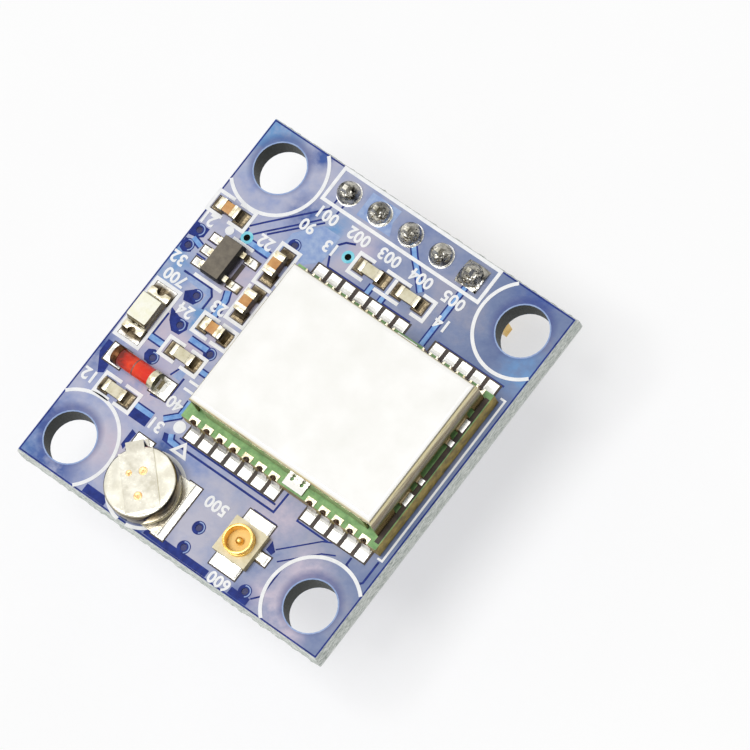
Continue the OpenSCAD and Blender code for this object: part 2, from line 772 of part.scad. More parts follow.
// Ceramic package with a stepped metal lid
module lidded_package(l, w, h) {
    block(l, w, h - lid_h);
    translate([0, 0, h - lid_h]) block(l - 2 * lid_rim, w - 2 * lid_rim, lid_h);
}

module oscillator() {
    color(gold) on_module() translate([oscillator_x, oscillator_y, 0])
        lidded_package(oscillator_l, oscillator_w, oscillator_h);
}

module clock_crystal() {
    color(steel) on_module() translate([crystal_x, crystal_y, 0])
        lidded_package(crystal_l, crystal_w, crystal_h);
}

module antenna_filter() {
    color(ceramic_white) on_module() translate([filter_x, filter_y, 0]) block(filter_l, filter_w, filter_h);
}

module antenna_amplifier() {
    color(dark_chip) on_module() translate([filter_x, -filter_y, 0]) block(filter_l, filter_w, filter_h);
}

module module_passives() {
    color(ceramic_tan) on_module() for (s = [-1, 1], k = [0 : passive_count - 1])
        translate([(k - (passive_count - 1) / 2) * passive_pitch, s * passive_y, 0])
            block(passive_l, passive_w, passive_h);
}

// Ground tabs and barrel, still without the bore
module socket_shell_outside() {
    mid = (socket_base_h + socket_h) / 2;
    difference() {
        cylinder(d = barrel_d, h = socket_h);
        translate([0, 0, mid - groove_w / 2]) difference() {
            cylinder(d = barrel_d + cut, h = groove_w);
            translate([0, 0, -cut]) cylinder(d = barrel_d - 2 * groove_depth, h = groove_w + 2 * cut);
        }
    }
    block(socket_tab_w, 2 * socket_tab_reach, socket_tab_t);
}

module socket_shell() {
    color(gold) on_board(socket_x, socket_y) difference() {
        socket_shell_outside();
        translate([0, 0, -cut]) cylinder(d = barrel_d - 2 * barrel_wall, h = socket_h + 2 * cut);
        translate([0, -tail_w / 2 - tail_clear, -cut])
            cube([socket_base_w, tail_w + 2 * tail_clear, socket_tab_t + tail_clear + cut]);
    }
}

module socket_contact() {
    color(gold) on_board(socket_x, socket_y) {
        cylinder(d = centre_d, h = centre_h - centre_d / 2, $fn = 24);
        translate([0, 0, centre_h - centre_d / 2]) sphere(d = centre_d, $fn = 24);
        translate([0, -tail_w / 2, 0]) cube([tail_reach, tail_w, socket_tab_t]);
    }
}

module socket_base() {
    color(cream_plastic) difference() {
        on_board(socket_x, socket_y) block(socket_base_w, socket_base_w, socket_base_h);
        socket_shell();
        socket_contact();
    }
}

// Lands under the socket's two ground tabs and its tail
module socket_lands() {
    inner = barrel_d / 2;
    end = socket_tab_reach + solder_margin;
    for (s = [-1, 1]) translate([0, s * (inner + end) / 2, 0])
        block(socket_tab_w + 2 * land_side, end - inner, land_t);
    translate([inner + tail_clear, -tail_w / 2 - land_side, 0])
        cube([tail_reach - inner, tail_w + 2 * land_side, land_t]);
}

// Section of the sealed can, with the groove that holds gasket and cap
module can_section() {
    r = cell_d / 2;
    seat_r = cap_d / 2 + gasket_w;
    polygon([
        [0, 0], [r - cell_edge, 0], [r, cell_edge], [r, can_h - cell_edge], [r - cell_edge, can_h],
        [seat_r, can_h], [seat_r, can_h - cap_depth], [0, can_h - cap_depth]]);
}

// Puts a piece of the cell on the bottom tab, turned cap down
module on_cell() {
    on_board(cell_x, cell_y) translate([0, 0, cell_tab_t + cell_h]) rotate([180, 0, 0]) children();
}

module cell_can() {
    color(steel) on_cell() rotate_extrude() can_section();
}

module cell_gasket() {
    color(black_plastic) on_cell() translate([0, 0, can_h - cap_depth]) difference() {
        cylinder(d = cap_d + 2 * gasket_w, h = cap_depth);
        translate([0, 0, -cut]) cylinder(d = cap_d, h = cap_depth + 2 * cut);
    }
}

module cell_cap() {
    color(steel) on_cell() translate([0, 0, can_h - cap_depth])
        cylinder(d = cap_d, h = cap_depth + cap_rise);
}

module cell_top_tab() {
    top = cell_tab_t + cell_h;
    free_end = cell_d / 2 - top_tab_end;
    color(steel) on_board(cell_x, cell_y, top_tab_angle) {
        translate([-free_end, -top_tab_w / 2, top]) cube([2 * free_end, top_tab_w, cell_tab_t]);
        translate([0, -tab_foot_w / 2, top]) cube([leg_x + cell_tab_t, tab_foot_w, cell_tab_t]);
        translate([leg_x, -tab_foot_w / 2, 0]) cube([cell_tab_t, tab_foot_w, top]);
        translate([leg_x, -tab_foot_w / 2, 0]) cube([tab_foot_l, tab_foot_w, cell_tab_t]);
    }
}

module cell_bottom_tab() {
    color(steel) on_board(cell_x, cell_y)
        translate([bottom_tab_x - bottom_tab_l, -bottom_tab_w / 2, 0])
            cube([bottom_tab_l, bottom_tab_w, cell_tab_t]);
}

// Lands of the cell: a square under the top tab's foot, a strip along the bottom tab's edge
module cell_lands() {
    foot = leg_x + tab_foot_l / 2;
    side = tab_foot_w + 2 * land_side;
    translate([foot * cos(top_tab_angle), foot * sin(top_tab_angle), 0]) block(side, side, land_t);
    translate([bottom_tab_x - land_toe, -bottom_tab_w / 2 - land_side, 0])
        cube([2 * land_toe, bottom_tab_w + 2 * land_side, land_t]);
}

// Indicator base, inside its terminals' metal
module led_core() {
    difference() {
        translate([0, 0, metal_t])
            block(led_l - 2 * metal_t, led_w - 2 * metal_t, led_base_h - 2 * metal_t);
        both_ends(led_l) cylinder(r = led_notch_r + metal_t, h = led_base_h, $fn = 24);
    }
}

module led_base() {
    color(ceramic_white) on_board(led_x, led_y, 90) led_core();
}

module led_terminals() {
    color(tin) on_board(led_x, led_y, 90) difference() {
        both_ends(led_l) difference() {
            translate([-led_band, -led_w / 2, 0]) cube([led_band, led_w, led_base_h]);
            translate([0, 0, -cut]) cylinder(r = led_notch_r, h = led_base_h + 2 * cut, $fn = 24);
        }
        led_core();
    }
}

module led_lens() {
    low = led_l / 2 - led_band - led_lens_gap;
    high = low - led_lens_draft;
    color(cream_plastic) on_board(led_x, led_y, 90) translate([0, 0, led_base_h - metal_t])
        rotate([90, 0, 0]) linear_extrude(led_w - 2 * metal_t, center = true)
            polygon([[-low, 0], [low, 0], [high, led_lens_h], [-high, led_lens_h]]);
}

// Puts a piece of the diode on its axis, which lies along X
module on_diode_axis() {
    on_board(diode_x, diode_y) translate([0, 0, diode_cap_d / 2]) rotate([0, 90, 0]) children();
}

module diode_glass() {
    glass_l = diode_l - 2 * diode_cap_l;
    color(glass_red) on_diode_axis() difference() {
        cylinder(d = diode_glass_d, h = glass_l, center = true);
        cylinder(d = diode_stud_d, h = glass_l + 2 * cut, center = true);
    }
}

// End cap with the stud that reaches the die
module diode_electrode() {
    translate([0, 0, diode_l / 2 - diode_cap_l]) cylinder(d = diode_cap_d, h = diode_cap_l);
    translate([0, 0, diode_die_t / 2])
        cylinder(d = diode_stud_d, h = diode_l / 2 - diode_cap_l - diode_die_t / 2);
}

module diode_cathode() {
    color(tin) on_diode_axis() mirror([0, 0, 1]) diode_electrode();
}

module diode_anode() {
    color(tin) on_diode_axis() diode_electrode();
}

module diode_die() {
    color(dark_chip) on_diode_axis() cylinder(d = diode_die_d, h = diode_die_t, center = true);
}

// Side view of a moulded body, widest at half its height
module draft_profile(w) {
    polygon([
        [-w / 2 + reg_draft, 0], [w / 2 - reg_draft, 0], [w / 2, reg_h / 2],
        [w / 2 - reg_draft, reg_h], [-w / 2 + reg_draft, reg_h], [-w / 2, reg_h / 2]]);
}

// Repeats its children at each lead, with +X pointing out of the body
module reg_leads_places() {
    for (k = [-1, 0, 1]) rotate([0, 0, 180]) translate([0, k * reg_pitch, 0]) children();
    for (k = [-1, 1]) translate([0, k * reg_pitch, 0]) children();
}

// Gull-wing lead with its foot on z = 0
module gull_lead() {
    end = reg_span / 2;
    leg = end - lead_foot;
    low = reg_standoff + reg_h / 2 - lead_t / 2;
    high = low + lead_t;
    grip = reg_w / 2 - lead_grip;
    rotate([90, 0, 0]) linear_extrude(lead_w, center = true) polygon([
        [grip, low], [leg - lead_lean, low], [leg, 0], [end, 0], [end, lead_t],
        [leg + lead_t, lead_t], [leg + lead_t - lead_lean, high], [grip, high]]);
}

module regulator_leads() {
    color(tin) on_board(reg_x, reg_y) reg_leads_places() gull_lead();
}

module regulator_body() {
    color(dark_chip) difference() {
        on_board(reg_x, reg_y) translate([0, 0, reg_standoff]) crossed_profiles(reg_w, reg_l) {
            draft_profile(reg_w);
            draft_profile(reg_l);
        }
        regulator_leads();
    }
}

// Ceramic of a chip part, inside its terminals' metal
module chip_core(h) {
    translate([0, 0, metal_t]) block(chip_l - 2 * metal_t, chip_w - 2 * metal_t, h - 2 * metal_t);
}

// Metal caps on both ends of a chip part
module chip_caps(h) {
    difference() {
        both_ends(chip_l) translate([-band, -chip_w / 2, 0]) cube([band, chip_w, h]);
        chip_core(h);
    }
}

module capacitor_body(i) {
    p = cap_places[i - 1];
    color(ceramic_tan) on_board(p.x, p.y, p[2]) chip_core(cap_h);
}

module capacitor_terminals(i) {
    p = cap_places[i - 1];
    color(tin) on_board(p.x, p.y, p[2]) chip_caps(cap_h);
}

module resistor_body(i) {
    p = res_places[i - 1];
    color(ceramic_white) on_board(p.x, p.y, p[2]) chip_core(res_h);
}

module resistor_coat(i) {
    p = res_places[i - 1];
    coat_l = chip_l - 2 * band - 2 * coat_gap;
    color(cream_plastic) on_board(p.x, p.y, p[2]) translate([0, 0, res_h - metal_t])
        block(coat_l, chip_w - 2 * metal_t, metal_t);
}

module resistor_terminals(i) {
    p = res_places[i - 1];
    color(tin) on_board(p.x, p.y, p[2]) chip_caps(res_h);
}

// Solder fillets of the chip parts, indicator, diode, regulator, cell and socket
module chip_solder() {
    run = land_toe - solder_margin;
    color(tin) {
        for (p = concat(cap_places, res_places))
            on_board(p.x, p.y, p[2]) both_ends(chip_l) solder_wedge(run, chip_rise, chip_w);
        on_board(led_x, led_y, 90) both_ends(led_l) for (s = [-1, 1])
            translate([0, s * (led_w + 2 * led_notch_r) / 4, 0])
                solder_wedge(run, led_base_h - metal_t, led_w / 2 - led_notch_r);
        on_board(diode_x, diode_y) both_ends(diode_l)
            solder_wedge(diode_toe - solder_margin, diode_cap_d / 2, diode_cap_d / 2);
        on_board(reg_x, reg_y) reg_leads_places() translate([reg_span / 2, 0, 0])
            solder_wedge(lead_toe - solder_margin, lead_t, lead_w);
        on_board(cell_x, cell_y) translate([bottom_tab_x, 0, 0])
            solder_wedge(run, cell_tab_t, bottom_tab_w);
    }
}

circuit_board();
solder_lands();
header_strip();
for (i = PINS) header_pin(i);
header_solder();
module_board();
module_contacts();
module_solder();
shield_can();
shield_solder();
receiver_chip();
oscillator();
clock_crystal();
antenna_filter();
antenna_amplifier();
module_passives();
socket_base();
socket_shell();
socket_contact();
cell_can();
cell_gasket();
cell_cap();
cell_top_tab();
cell_bottom_tab();
led_base();
led_lens();
led_terminals();
diode_glass();
diode_cathode();
diode_anode();
diode_die();
regulator_body();
regulator_leads();
for (i = CAPS) capacitor_body(i);
for (i = CAPS) capacitor_terminals(i);
for (i = RESISTORS) resistor_body(i);
for (i = RESISTORS) resistor_coat(i);
for (i = RESISTORS) resistor_terminals(i);
chip_solder();
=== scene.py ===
"""Looks of the satellite receiver module: prints, copper, board edges, materials, light and camera."""
import itertools
import json
import math

import bmesh
import bpy
from mathutils import Matrix, Vector, noise
from mathutils.geometry import tessellate_polygon


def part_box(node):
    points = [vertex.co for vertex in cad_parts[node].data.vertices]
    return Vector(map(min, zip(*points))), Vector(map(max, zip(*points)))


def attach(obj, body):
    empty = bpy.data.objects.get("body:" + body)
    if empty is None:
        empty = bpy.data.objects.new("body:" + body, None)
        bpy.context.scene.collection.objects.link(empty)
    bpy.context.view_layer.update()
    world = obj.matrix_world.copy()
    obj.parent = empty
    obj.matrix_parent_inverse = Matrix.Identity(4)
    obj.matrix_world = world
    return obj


MM = 0.001
IMAGE_SIDE = 750

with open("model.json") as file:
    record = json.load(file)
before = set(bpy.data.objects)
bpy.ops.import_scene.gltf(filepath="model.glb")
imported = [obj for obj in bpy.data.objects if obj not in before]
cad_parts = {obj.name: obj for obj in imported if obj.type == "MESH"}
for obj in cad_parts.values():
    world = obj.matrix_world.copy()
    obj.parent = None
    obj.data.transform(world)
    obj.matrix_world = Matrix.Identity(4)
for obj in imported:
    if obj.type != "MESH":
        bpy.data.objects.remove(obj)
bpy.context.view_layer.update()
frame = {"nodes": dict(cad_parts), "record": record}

BOARD_LOW, BOARD_HIGH = (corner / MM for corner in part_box("circuit_board"))
BOARD_TOP = BOARD_HIGH.z
FLOOR_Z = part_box("header_pin_1")[0].z

# Heights of the printed layers above the board, in mm, and how far their feet lie in it.
# Shapes of one layer step up by LAYER_STEP in turn, so that none shares a face with its neighbour.
SINK = 0.01
GAP_H = 0.004
FILL_H = 0.01
VIA_H = 0.016
COPPER_H = 0.022
LAND_GAP_H = 0.028
INK_H = 0.034
LAYER_STEP = 0.0005
LAYER_STEPS = 9
layer_turn = itertools.count()

HOLES = [(x, y) for x in (-10, 10) for y in (-10.9, 10.9)]
HOLE_R = 1.75
VIAS = [(-11.8, 4.7), (-11.8, 3.5), (-9.15, 1.1), (-8.8, -1.05), (-5.9, -1.5), (-8.9, -3.75),
        (0.8, -10.9), (0.8, -12.45), (5.9, -12.5), (-5.9, 7.28)]
BARE_VIAS = [(-8.85, 6.0), (-2.5, 8.6)]
VIA_R = 0.225
VIA_SIDES = 20
CELL_MIDDLE = (-3.65, -10.85)
SOCKET_MIDDLE = (3.85, -10.2)


def srgb(r, g, b):
    """Linear colour of an 8-bit display colour."""
    def linear(c):
        c /= 255
        return c / 12.92 if c <= 0.04045 else ((c + 0.055) / 1.055) ** 2.4
    return linear(r), linear(g), linear(b), 1.0


# Node helpers: the usual range of noise, the turn at which a face counts as square to an axis,
# and the softness of a change at a height

NOISE = (0.3, 0.7)
FACE_TURN = (0.6, 0.8)
LEVEL_SOFT = 0.02


def new_material(name):
    """Empty node material: (material, node tree, its shader)."""
    mat = bpy.data.materials.new(name)
    mat.use_nodes = True
    tree = mat.node_tree
    return mat, tree, tree.nodes["Principled BSDF"]


def add(tree, kind, **values):
    """New node with its inputs set by name: a socket is linked, anything else is a constant."""
    made = tree.nodes.new(kind)
    for key, value in values.items():
        socket = made.inputs[key.replace("_", " ")]
        if isinstance(value, bpy.types.NodeSocket):
            tree.links.new(value, socket)
        else:
            socket.default_value = value
    return made


def coords(tree, stretch=(1, 1, 1)):
    """Object coordinates in millimetres, stretched per axis."""
    place = add(tree, "ShaderNodeTexCoord").outputs["Object"]
    scale = [s / MM for s in stretch]
    return add(tree, "ShaderNodeMapping", Vector=place, Scale=scale).outputs["Vector"]


def speckle(tree, place, scale, detail=4.0, rough=0.6):
    """Noise from 0 to 1, with that many features to the millimetre."""
    made = add(tree, "ShaderNodeTexNoise", Vector=place, Scale=scale, Detail=detail, Roughness=rough)
    return made.outputs["Fac"]


def ramp(tree, factor, *stops):
    """Colours at places from 0 to 1."""
    made = add(tree, "ShaderNodeValToRGB", Fac=factor)
    elements = made.color_ramp.elements
    while len(elements) < len(stops):
        elements.new(0.5)
    for element, (place, colour) in zip(elements, stops):
        element.position = place
        element.color = colour
    return made.outputs["Color"]


def spread(tree, factor, low, high, out_low, out_high):
    """Maps low..high to out_low..out_high, clamped."""
    made = tree.nodes.new("ShaderNodeMapRange")
    tree.links.new(factor, made.inputs["Value"])
    for key, value in zip(("From Min", "From Max", "To Min", "To Max"), (low, high, out_low, out_high)):
        made.inputs[key].default_value = value
    return made.outputs["Result"]


def blend(tree, factor, first, second):
    """Mix of two colours."""
    made = tree.nodes.new("ShaderNodeMix")
    made.data_type = "RGBA"
    for index, value in ((0, factor), (6, first), (7, second)):
        if isinstance(value, bpy.types.NodeSocket):
            tree.links.new(value, made.inputs[index])
        else:
            made.inputs[index].default_value = value
    return made.outputs[2]


def relief(tree, height, depth, shader):
    """Bump of that depth in millimetres on a shader."""
    made = add(tree, "ShaderNodeBump", Height=height, Distance=depth * MM)
    tree.links.new(made.outputs["Normal"], shader.inputs["Normal"])


def calc(tree, operation, *terms):
    """Result of a Math node, from sockets and constants."""
    made = tree.nodes.new("ShaderNodeMath")
    made.operation = operation
    for socket, term in zip(made.inputs, terms):
        if isinstance(term, bpy.types.NodeSocket):
            tree.links.new(term, socket)
        else:
            socket.default_value = term
    return made.outputs[0]


def facing(axis):
    """Mask that is 1 on faces square to an axis, 0 on the others."""
    def mask(tree):
        normal = add(tree, "ShaderNodeTexCoord").outputs["Normal"]
        part = add(tree, "ShaderNodeSeparateXYZ", Vector=normal).outputs[axis]
        return spread(tree, calc(tree, "ABSOLUTE", part), *FACE_TURN, 0, 1)
    return mask


upward = facing("Z")


def above(level):
    """Mask that is 1 above a height in millimetres."""
    def mask(tree):
        z = add(tree, "ShaderNodeSeparateXYZ", Vector=coords(tree)).outputs["Z"]
        return spread(tree, z, level - LEVEL_SOFT, level + LEVEL_SOFT, 0, 1)
    return mask


def near(tree, spot, reach, core=0.3):
    """1 at a spot on the board out to that share of the reach in millimetres, fading to 0 at the reach."""
    made = tree.nodes.new("ShaderNodeVectorMath")
    made.operation = "DISTANCE"
    tree.links.new(coords(tree, (1, 1, 0)), made.inputs[0])
    made.inputs[1].default_value = (*spot, 0)
    return spread(tree, made.outputs["Value"], core * reach, reach, 1, 0)


# How far the painted shade and dark reflection on the solder reach from the middle of a chip
SHADED_SOLDER_REACH = {f"{kind}_{i}_body": 1.5 for kind in ("capacitor", "resistor") for i in range(1, 5)}
SHADED_SOLDER_REACH |= {"led_base": 2.2, "socket_contact": 1.1}
SHADED_SOLDER_CORE = 0.85


def by_chips(tree):
    """1 round the small chips, where the solder is painted dark as shade and dark reflection."""
    total = None
    for name, reach in SHADED_SOLDER_REACH.items():
        low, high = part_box(name)
        spot = near(tree, ((low + high) / 2 / MM).xy, reach, SHADED_SOLDER_CORE)
        total = calc(tree, "MAXIMUM", total, spot) if total else spot
    return total


# Materials

CLOUD = (0.32, 0.68)
SOCKET_TIN = 1.95


def mottled(name, tones, scale, rough, grain, depth, other=None, where=None, **constants):
    """Cloudy colour, uneven gloss and fine grain. A second pair of tones lies where the mask is 1."""
    mat, tree, shader = new_material(name)
    place = coords(tree)
    cloud = speckle(tree, place, scale)
    colour = ramp(tree, cloud, *zip(CLOUD, tones))
    if other:
        colour = blend(tree, where(tree), colour, ramp(tree, cloud, *zip(CLOUD, other)))
    tree.links.new(colour, shader.inputs["Base Color"])
    tree.links.new(spread(tree, cloud, *NOISE, *rough), shader.inputs["Roughness"])
    relief(tree, speckle(tree, place, grain, 3.0), depth, shader)
    for key, value in constants.items():
        shader.inputs[key.replace("_", " ")].default_value = value
    return mat


def laminate_colour(tree):
    """Pale glass-epoxy with lighter threads along the board."""
    threads = speckle(tree, coords(tree, (1, 1, 5)), 3.0, 6.0, 0.7)
    return ramp(tree, threads, (0.3, srgb(126, 138, 132)), (0.48, srgb(206, 212, 206)),
                (0.66, srgb(246, 248, 244))), threads


OUTER_EDGE = (0.98, 0.985)


def inner_wall(tree):
    """1 away from the board's outer edges, where a wall belongs to a drilled hole."""
    parts = add(tree, "ShaderNodeSeparateXYZ", Vector=coords(tree))
    across = calc(tree, "DIVIDE", calc(tree, "ABSOLUTE", parts.outputs["X"]), BOARD_HIGH.x)
    along = calc(tree, "DIVIDE", calc(tree, "ABSOLUTE", parts.outputs["Y"]), BOARD_HIGH.y)
    return spread(tree, calc(tree, "MAXIMUM", across, along), *OUTER_EDGE, 1, 0)


# The mask turns blue along X between two places, which shift with Y
BLUE_FROM, BLUE_TO, BLUE_TILT = -5, 11, 0.3
# Painted shade on the mask round the mounting holes, its middle shifted from each hole towards -X and +Y
SHADE_SHIFT = (-0.12, 0.2)
SHADE_R, SHADE_CORE, SHADE_DEPTH = 2.3, 0.8, 0.62
# Spots on the board and their reach, where the mask looks lilac, light blue or deep blue
LILAC_SPOTS = [((-8.0, -5.6), 2.8), ((-7.6, -1.4), 2.6), ((-9.6, -2.2), 2.2), ((-7.2, 3.4), 2.2),
               ((-2.5, 9.0), 2.2), ((8.4, -9.4), 2.2), ((-7.8, -10.0), 2.0), ((4.5, -7.6), 2.4),
               ((7.3, -12.2), 2.2), ((9.6, -13.0), 1.8)]
SKY_SPOTS = [((-12.2, 12.6), 3.6), ((-12.6, -12.8), 2.6), ((-12.2, 2.0), 2.4), ((11.6, 8.8), 2.0),
             ((-8.0, 0.0), 1.6), ((-4.6, 9.0), 2.2)]
DEEP_SPOTS = [((-12.7, -11.0), 2.8), ((-10.0, -13.3), 3.0), ((9.5, 13.6), 2.4),
              ((-2.5, -13.6), 3.0), ((-4.5, -8.3), 1.6), ((-12.5, -5.2), 2.0),
              ((-6.8, 9.4), 1.6), ((5.9, -13.3), 1.6), ((-8.2, 13.0), 1.2)]


def mask_colour(tree):
    """Mask over copper: lilac, bluer towards the right, with spots, and painted shade round the holes."""
    parts = add(tree, "ShaderNodeSeparateXYZ", Vector=coords(tree))
    tilt = calc(tree, "MULTIPLY", parts.outputs["Y"], BLUE_TILT)
    right = spread(tree, calc(tree, "ADD", parts.outputs["X"], tilt), BLUE_FROM, BLUE_TO, 0, 1)
    cloud = speckle(tree, coords(tree), 0.3, 5.0, 0.6)
    pale = ramp(tree, cloud, (0.34, srgb(130, 147, 196)), (0.5, srgb(171, 176, 203)),
                (0.64, srgb(190, 189, 206)))
    deep = ramp(tree, cloud, (0.34, srgb(86, 105, 150)), (0.5, srgb(105, 122, 161)),
                (0.64, srgb(131, 137, 164)))
    mask = blend(tree, right, pale, deep)
    ragged = spread(tree, speckle(tree, coords(tree), 0.9, 4.0), 0.35, 0.6, 0.25, 1)
    for spots, colour in ((LILAC_SPOTS, srgb(194, 184, 202)), (SKY_SPOTS, srgb(98, 146, 198)),
                          (DEEP_SPOTS, srgb(40, 78, 152))):
        for spot, reach in spots:
            patchy = calc(tree, "MULTIPLY", near(tree, spot, reach), ragged)
            mask = blend(tree, patchy, mask, colour)
    # Painted shade round each mounting hole
    for x, y in HOLES:
        shade = near(tree, (x + SHADE_SHIFT[0], y + SHADE_SHIFT[1]), SHADE_R, SHADE_CORE)
        mask = blend(tree, calc(tree, "MULTIPLY", shade, SHADE_DEPTH), mask, srgb(34, 54, 128))
    return mask


def board_mask():
    """Mask on both faces, pale laminate at the broken edges, and walls in the holes painted dark as shade.
    """
    mat, tree, shader = new_material("board_mask")
    edge, threads = laminate_colour(tree)
    # The holes' walls are laminate too, painted near black for the shade inside them
    wall = blend(tree, inner_wall(tree), edge, srgb(40, 46, 42))
    face = upward(tree)
    tree.links.new(blend(tree, face, wall, mask_colour(tree)), shader.inputs["Base Color"])
    tree.links.new(spread(tree, face, 0, 1, 0.8, 0.3), shader.inputs["Roughness"])
    ripple = speckle(tree, coords(tree), 1.6, 3.0)
    relief(tree, blend(tree, face, threads, ripple), 0.02, shader)
    shader.inputs["Coat Weight"].default_value = 0.15
    shader.inputs["Coat Roughness"].default_value = 0.2
    return mat


def laminate():
    """Bare glass-epoxy at the broken edges."""
    mat, tree, shader = new_material("laminate")
    colour, threads = laminate_colour(tree)
    tree.links.new(colour, shader.inputs["Base Color"])
    tree.links.new(spread(tree, threads, *NOISE, 0.7, 0.95), shader.inputs["Roughness"])
    relief(tree, threads, 0.03, shader)
    return mat


def shield_steel():
    """Bright tinned sheet: satin lid, and walls with warm bands of painted reflection that follow the
    folds.
    """
    mat, tree, shader = new_material("shield_steel")
    cloud = speckle(tree, coords(tree), 0.4)
    lid = ramp(tree, cloud, (0.3, srgb(248, 247, 242)), (0.7, srgb(253, 252, 249)))
    low, high = (corner.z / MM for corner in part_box("shield_can"))
    z = add(tree, "ShaderNodeSeparateXYZ", Vector=coords(tree)).outputs["Z"]
    wave = spread(tree, speckle(tree, coords(tree, (0.5, 0.5, 3)), 1.2), *NOISE, -0.12, 0.12)
    height = calc(tree, "ADD", spread(tree, z, low, high, 0, 1), wave)
    # Painted reflection: the walls' dark and light warm bands stand for the board and table mirrored in
    # the steel
    wall = ramp(tree, height, (0.0, srgb(84, 70, 26)), (0.2, srgb(168, 146, 92)),
                (0.36, srgb(128, 108, 66)), (0.55, srgb(196, 182, 148)),
                (0.72, srgb(136, 118, 80)), (0.9, srgb(226, 214, 170)))
    tree.links.new(blend(tree, upward(tree), wall, lid), shader.inputs["Base Color"])
    tree.links.new(spread(tree, cloud, *NOISE, 0.12, 0.16), shader.inputs["Roughness"])
    relief(tree, speckle(tree, coords(tree), 9.0, 2.0), 0.001, shader)
    shader.inputs["Metallic"].default_value = 0.6
    return mat


def red_glass():
    """Red glass sleeve with thin drawn lines, burnt brown towards the cathode at its left."""
    mat, tree, shader = new_material("red_glass")
    streaks = speckle(tree, coords(tree, (0.2, 1, 1)), 5.0)
    low, high = (corner.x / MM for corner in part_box("diode_glass"))
    x = add(tree, "ShaderNodeSeparateXYZ", Vector=coords(tree)).outputs["X"]
    wave = spread(tree, speckle(tree, coords(tree), 2.5), *NOISE, -0.15, 0.15)
    along = calc(tree, "ADD", spread(tree, x, low, high, 0, 1), wave)
    tree.links.new(ramp(tree, along, (0.05, srgb(132, 36, 16)), (0.25, srgb(214, 42, 12)),
                        (0.5, srgb(253, 70, 22)), (0.9, srgb(240, 40, 8))), shader.inputs["Base Color"])
    tree.links.new(spread(tree, streaks, *NOISE, 0.06, 0.16), shader.inputs["Roughness"])
    relief(tree, streaks, 0.002, shader)
    shader.inputs["Transmission Weight"].default_value = 0.1
    shader.inputs["Specular IOR Level"].default_value = 0.2
    shader.inputs["Coat Weight"].default_value = 0.4
    shader.inputs["Coat Roughness"].default_value = 0.06
    return mat


# Reach and core of the painted gold reflection inside the socket's barrel
BORE_R, BORE_CORE = 0.95, 0.9


def socket_cream(mat):
    """Paints a gold reflection on the socket's base inside the barrel, where the plated walls shine on it.
    """
    tree = mat.node_tree
    colour = tree.nodes["Principled BSDF"].inputs["Base Color"]
    cream = colour.links[0].from_socket
    bore = near(tree, SOCKET_MIDDLE, BORE_R, BORE_CORE)
    tree.links.new(blend(tree, bore, cream, srgb(240, 202, 124)), colour)
    return mat


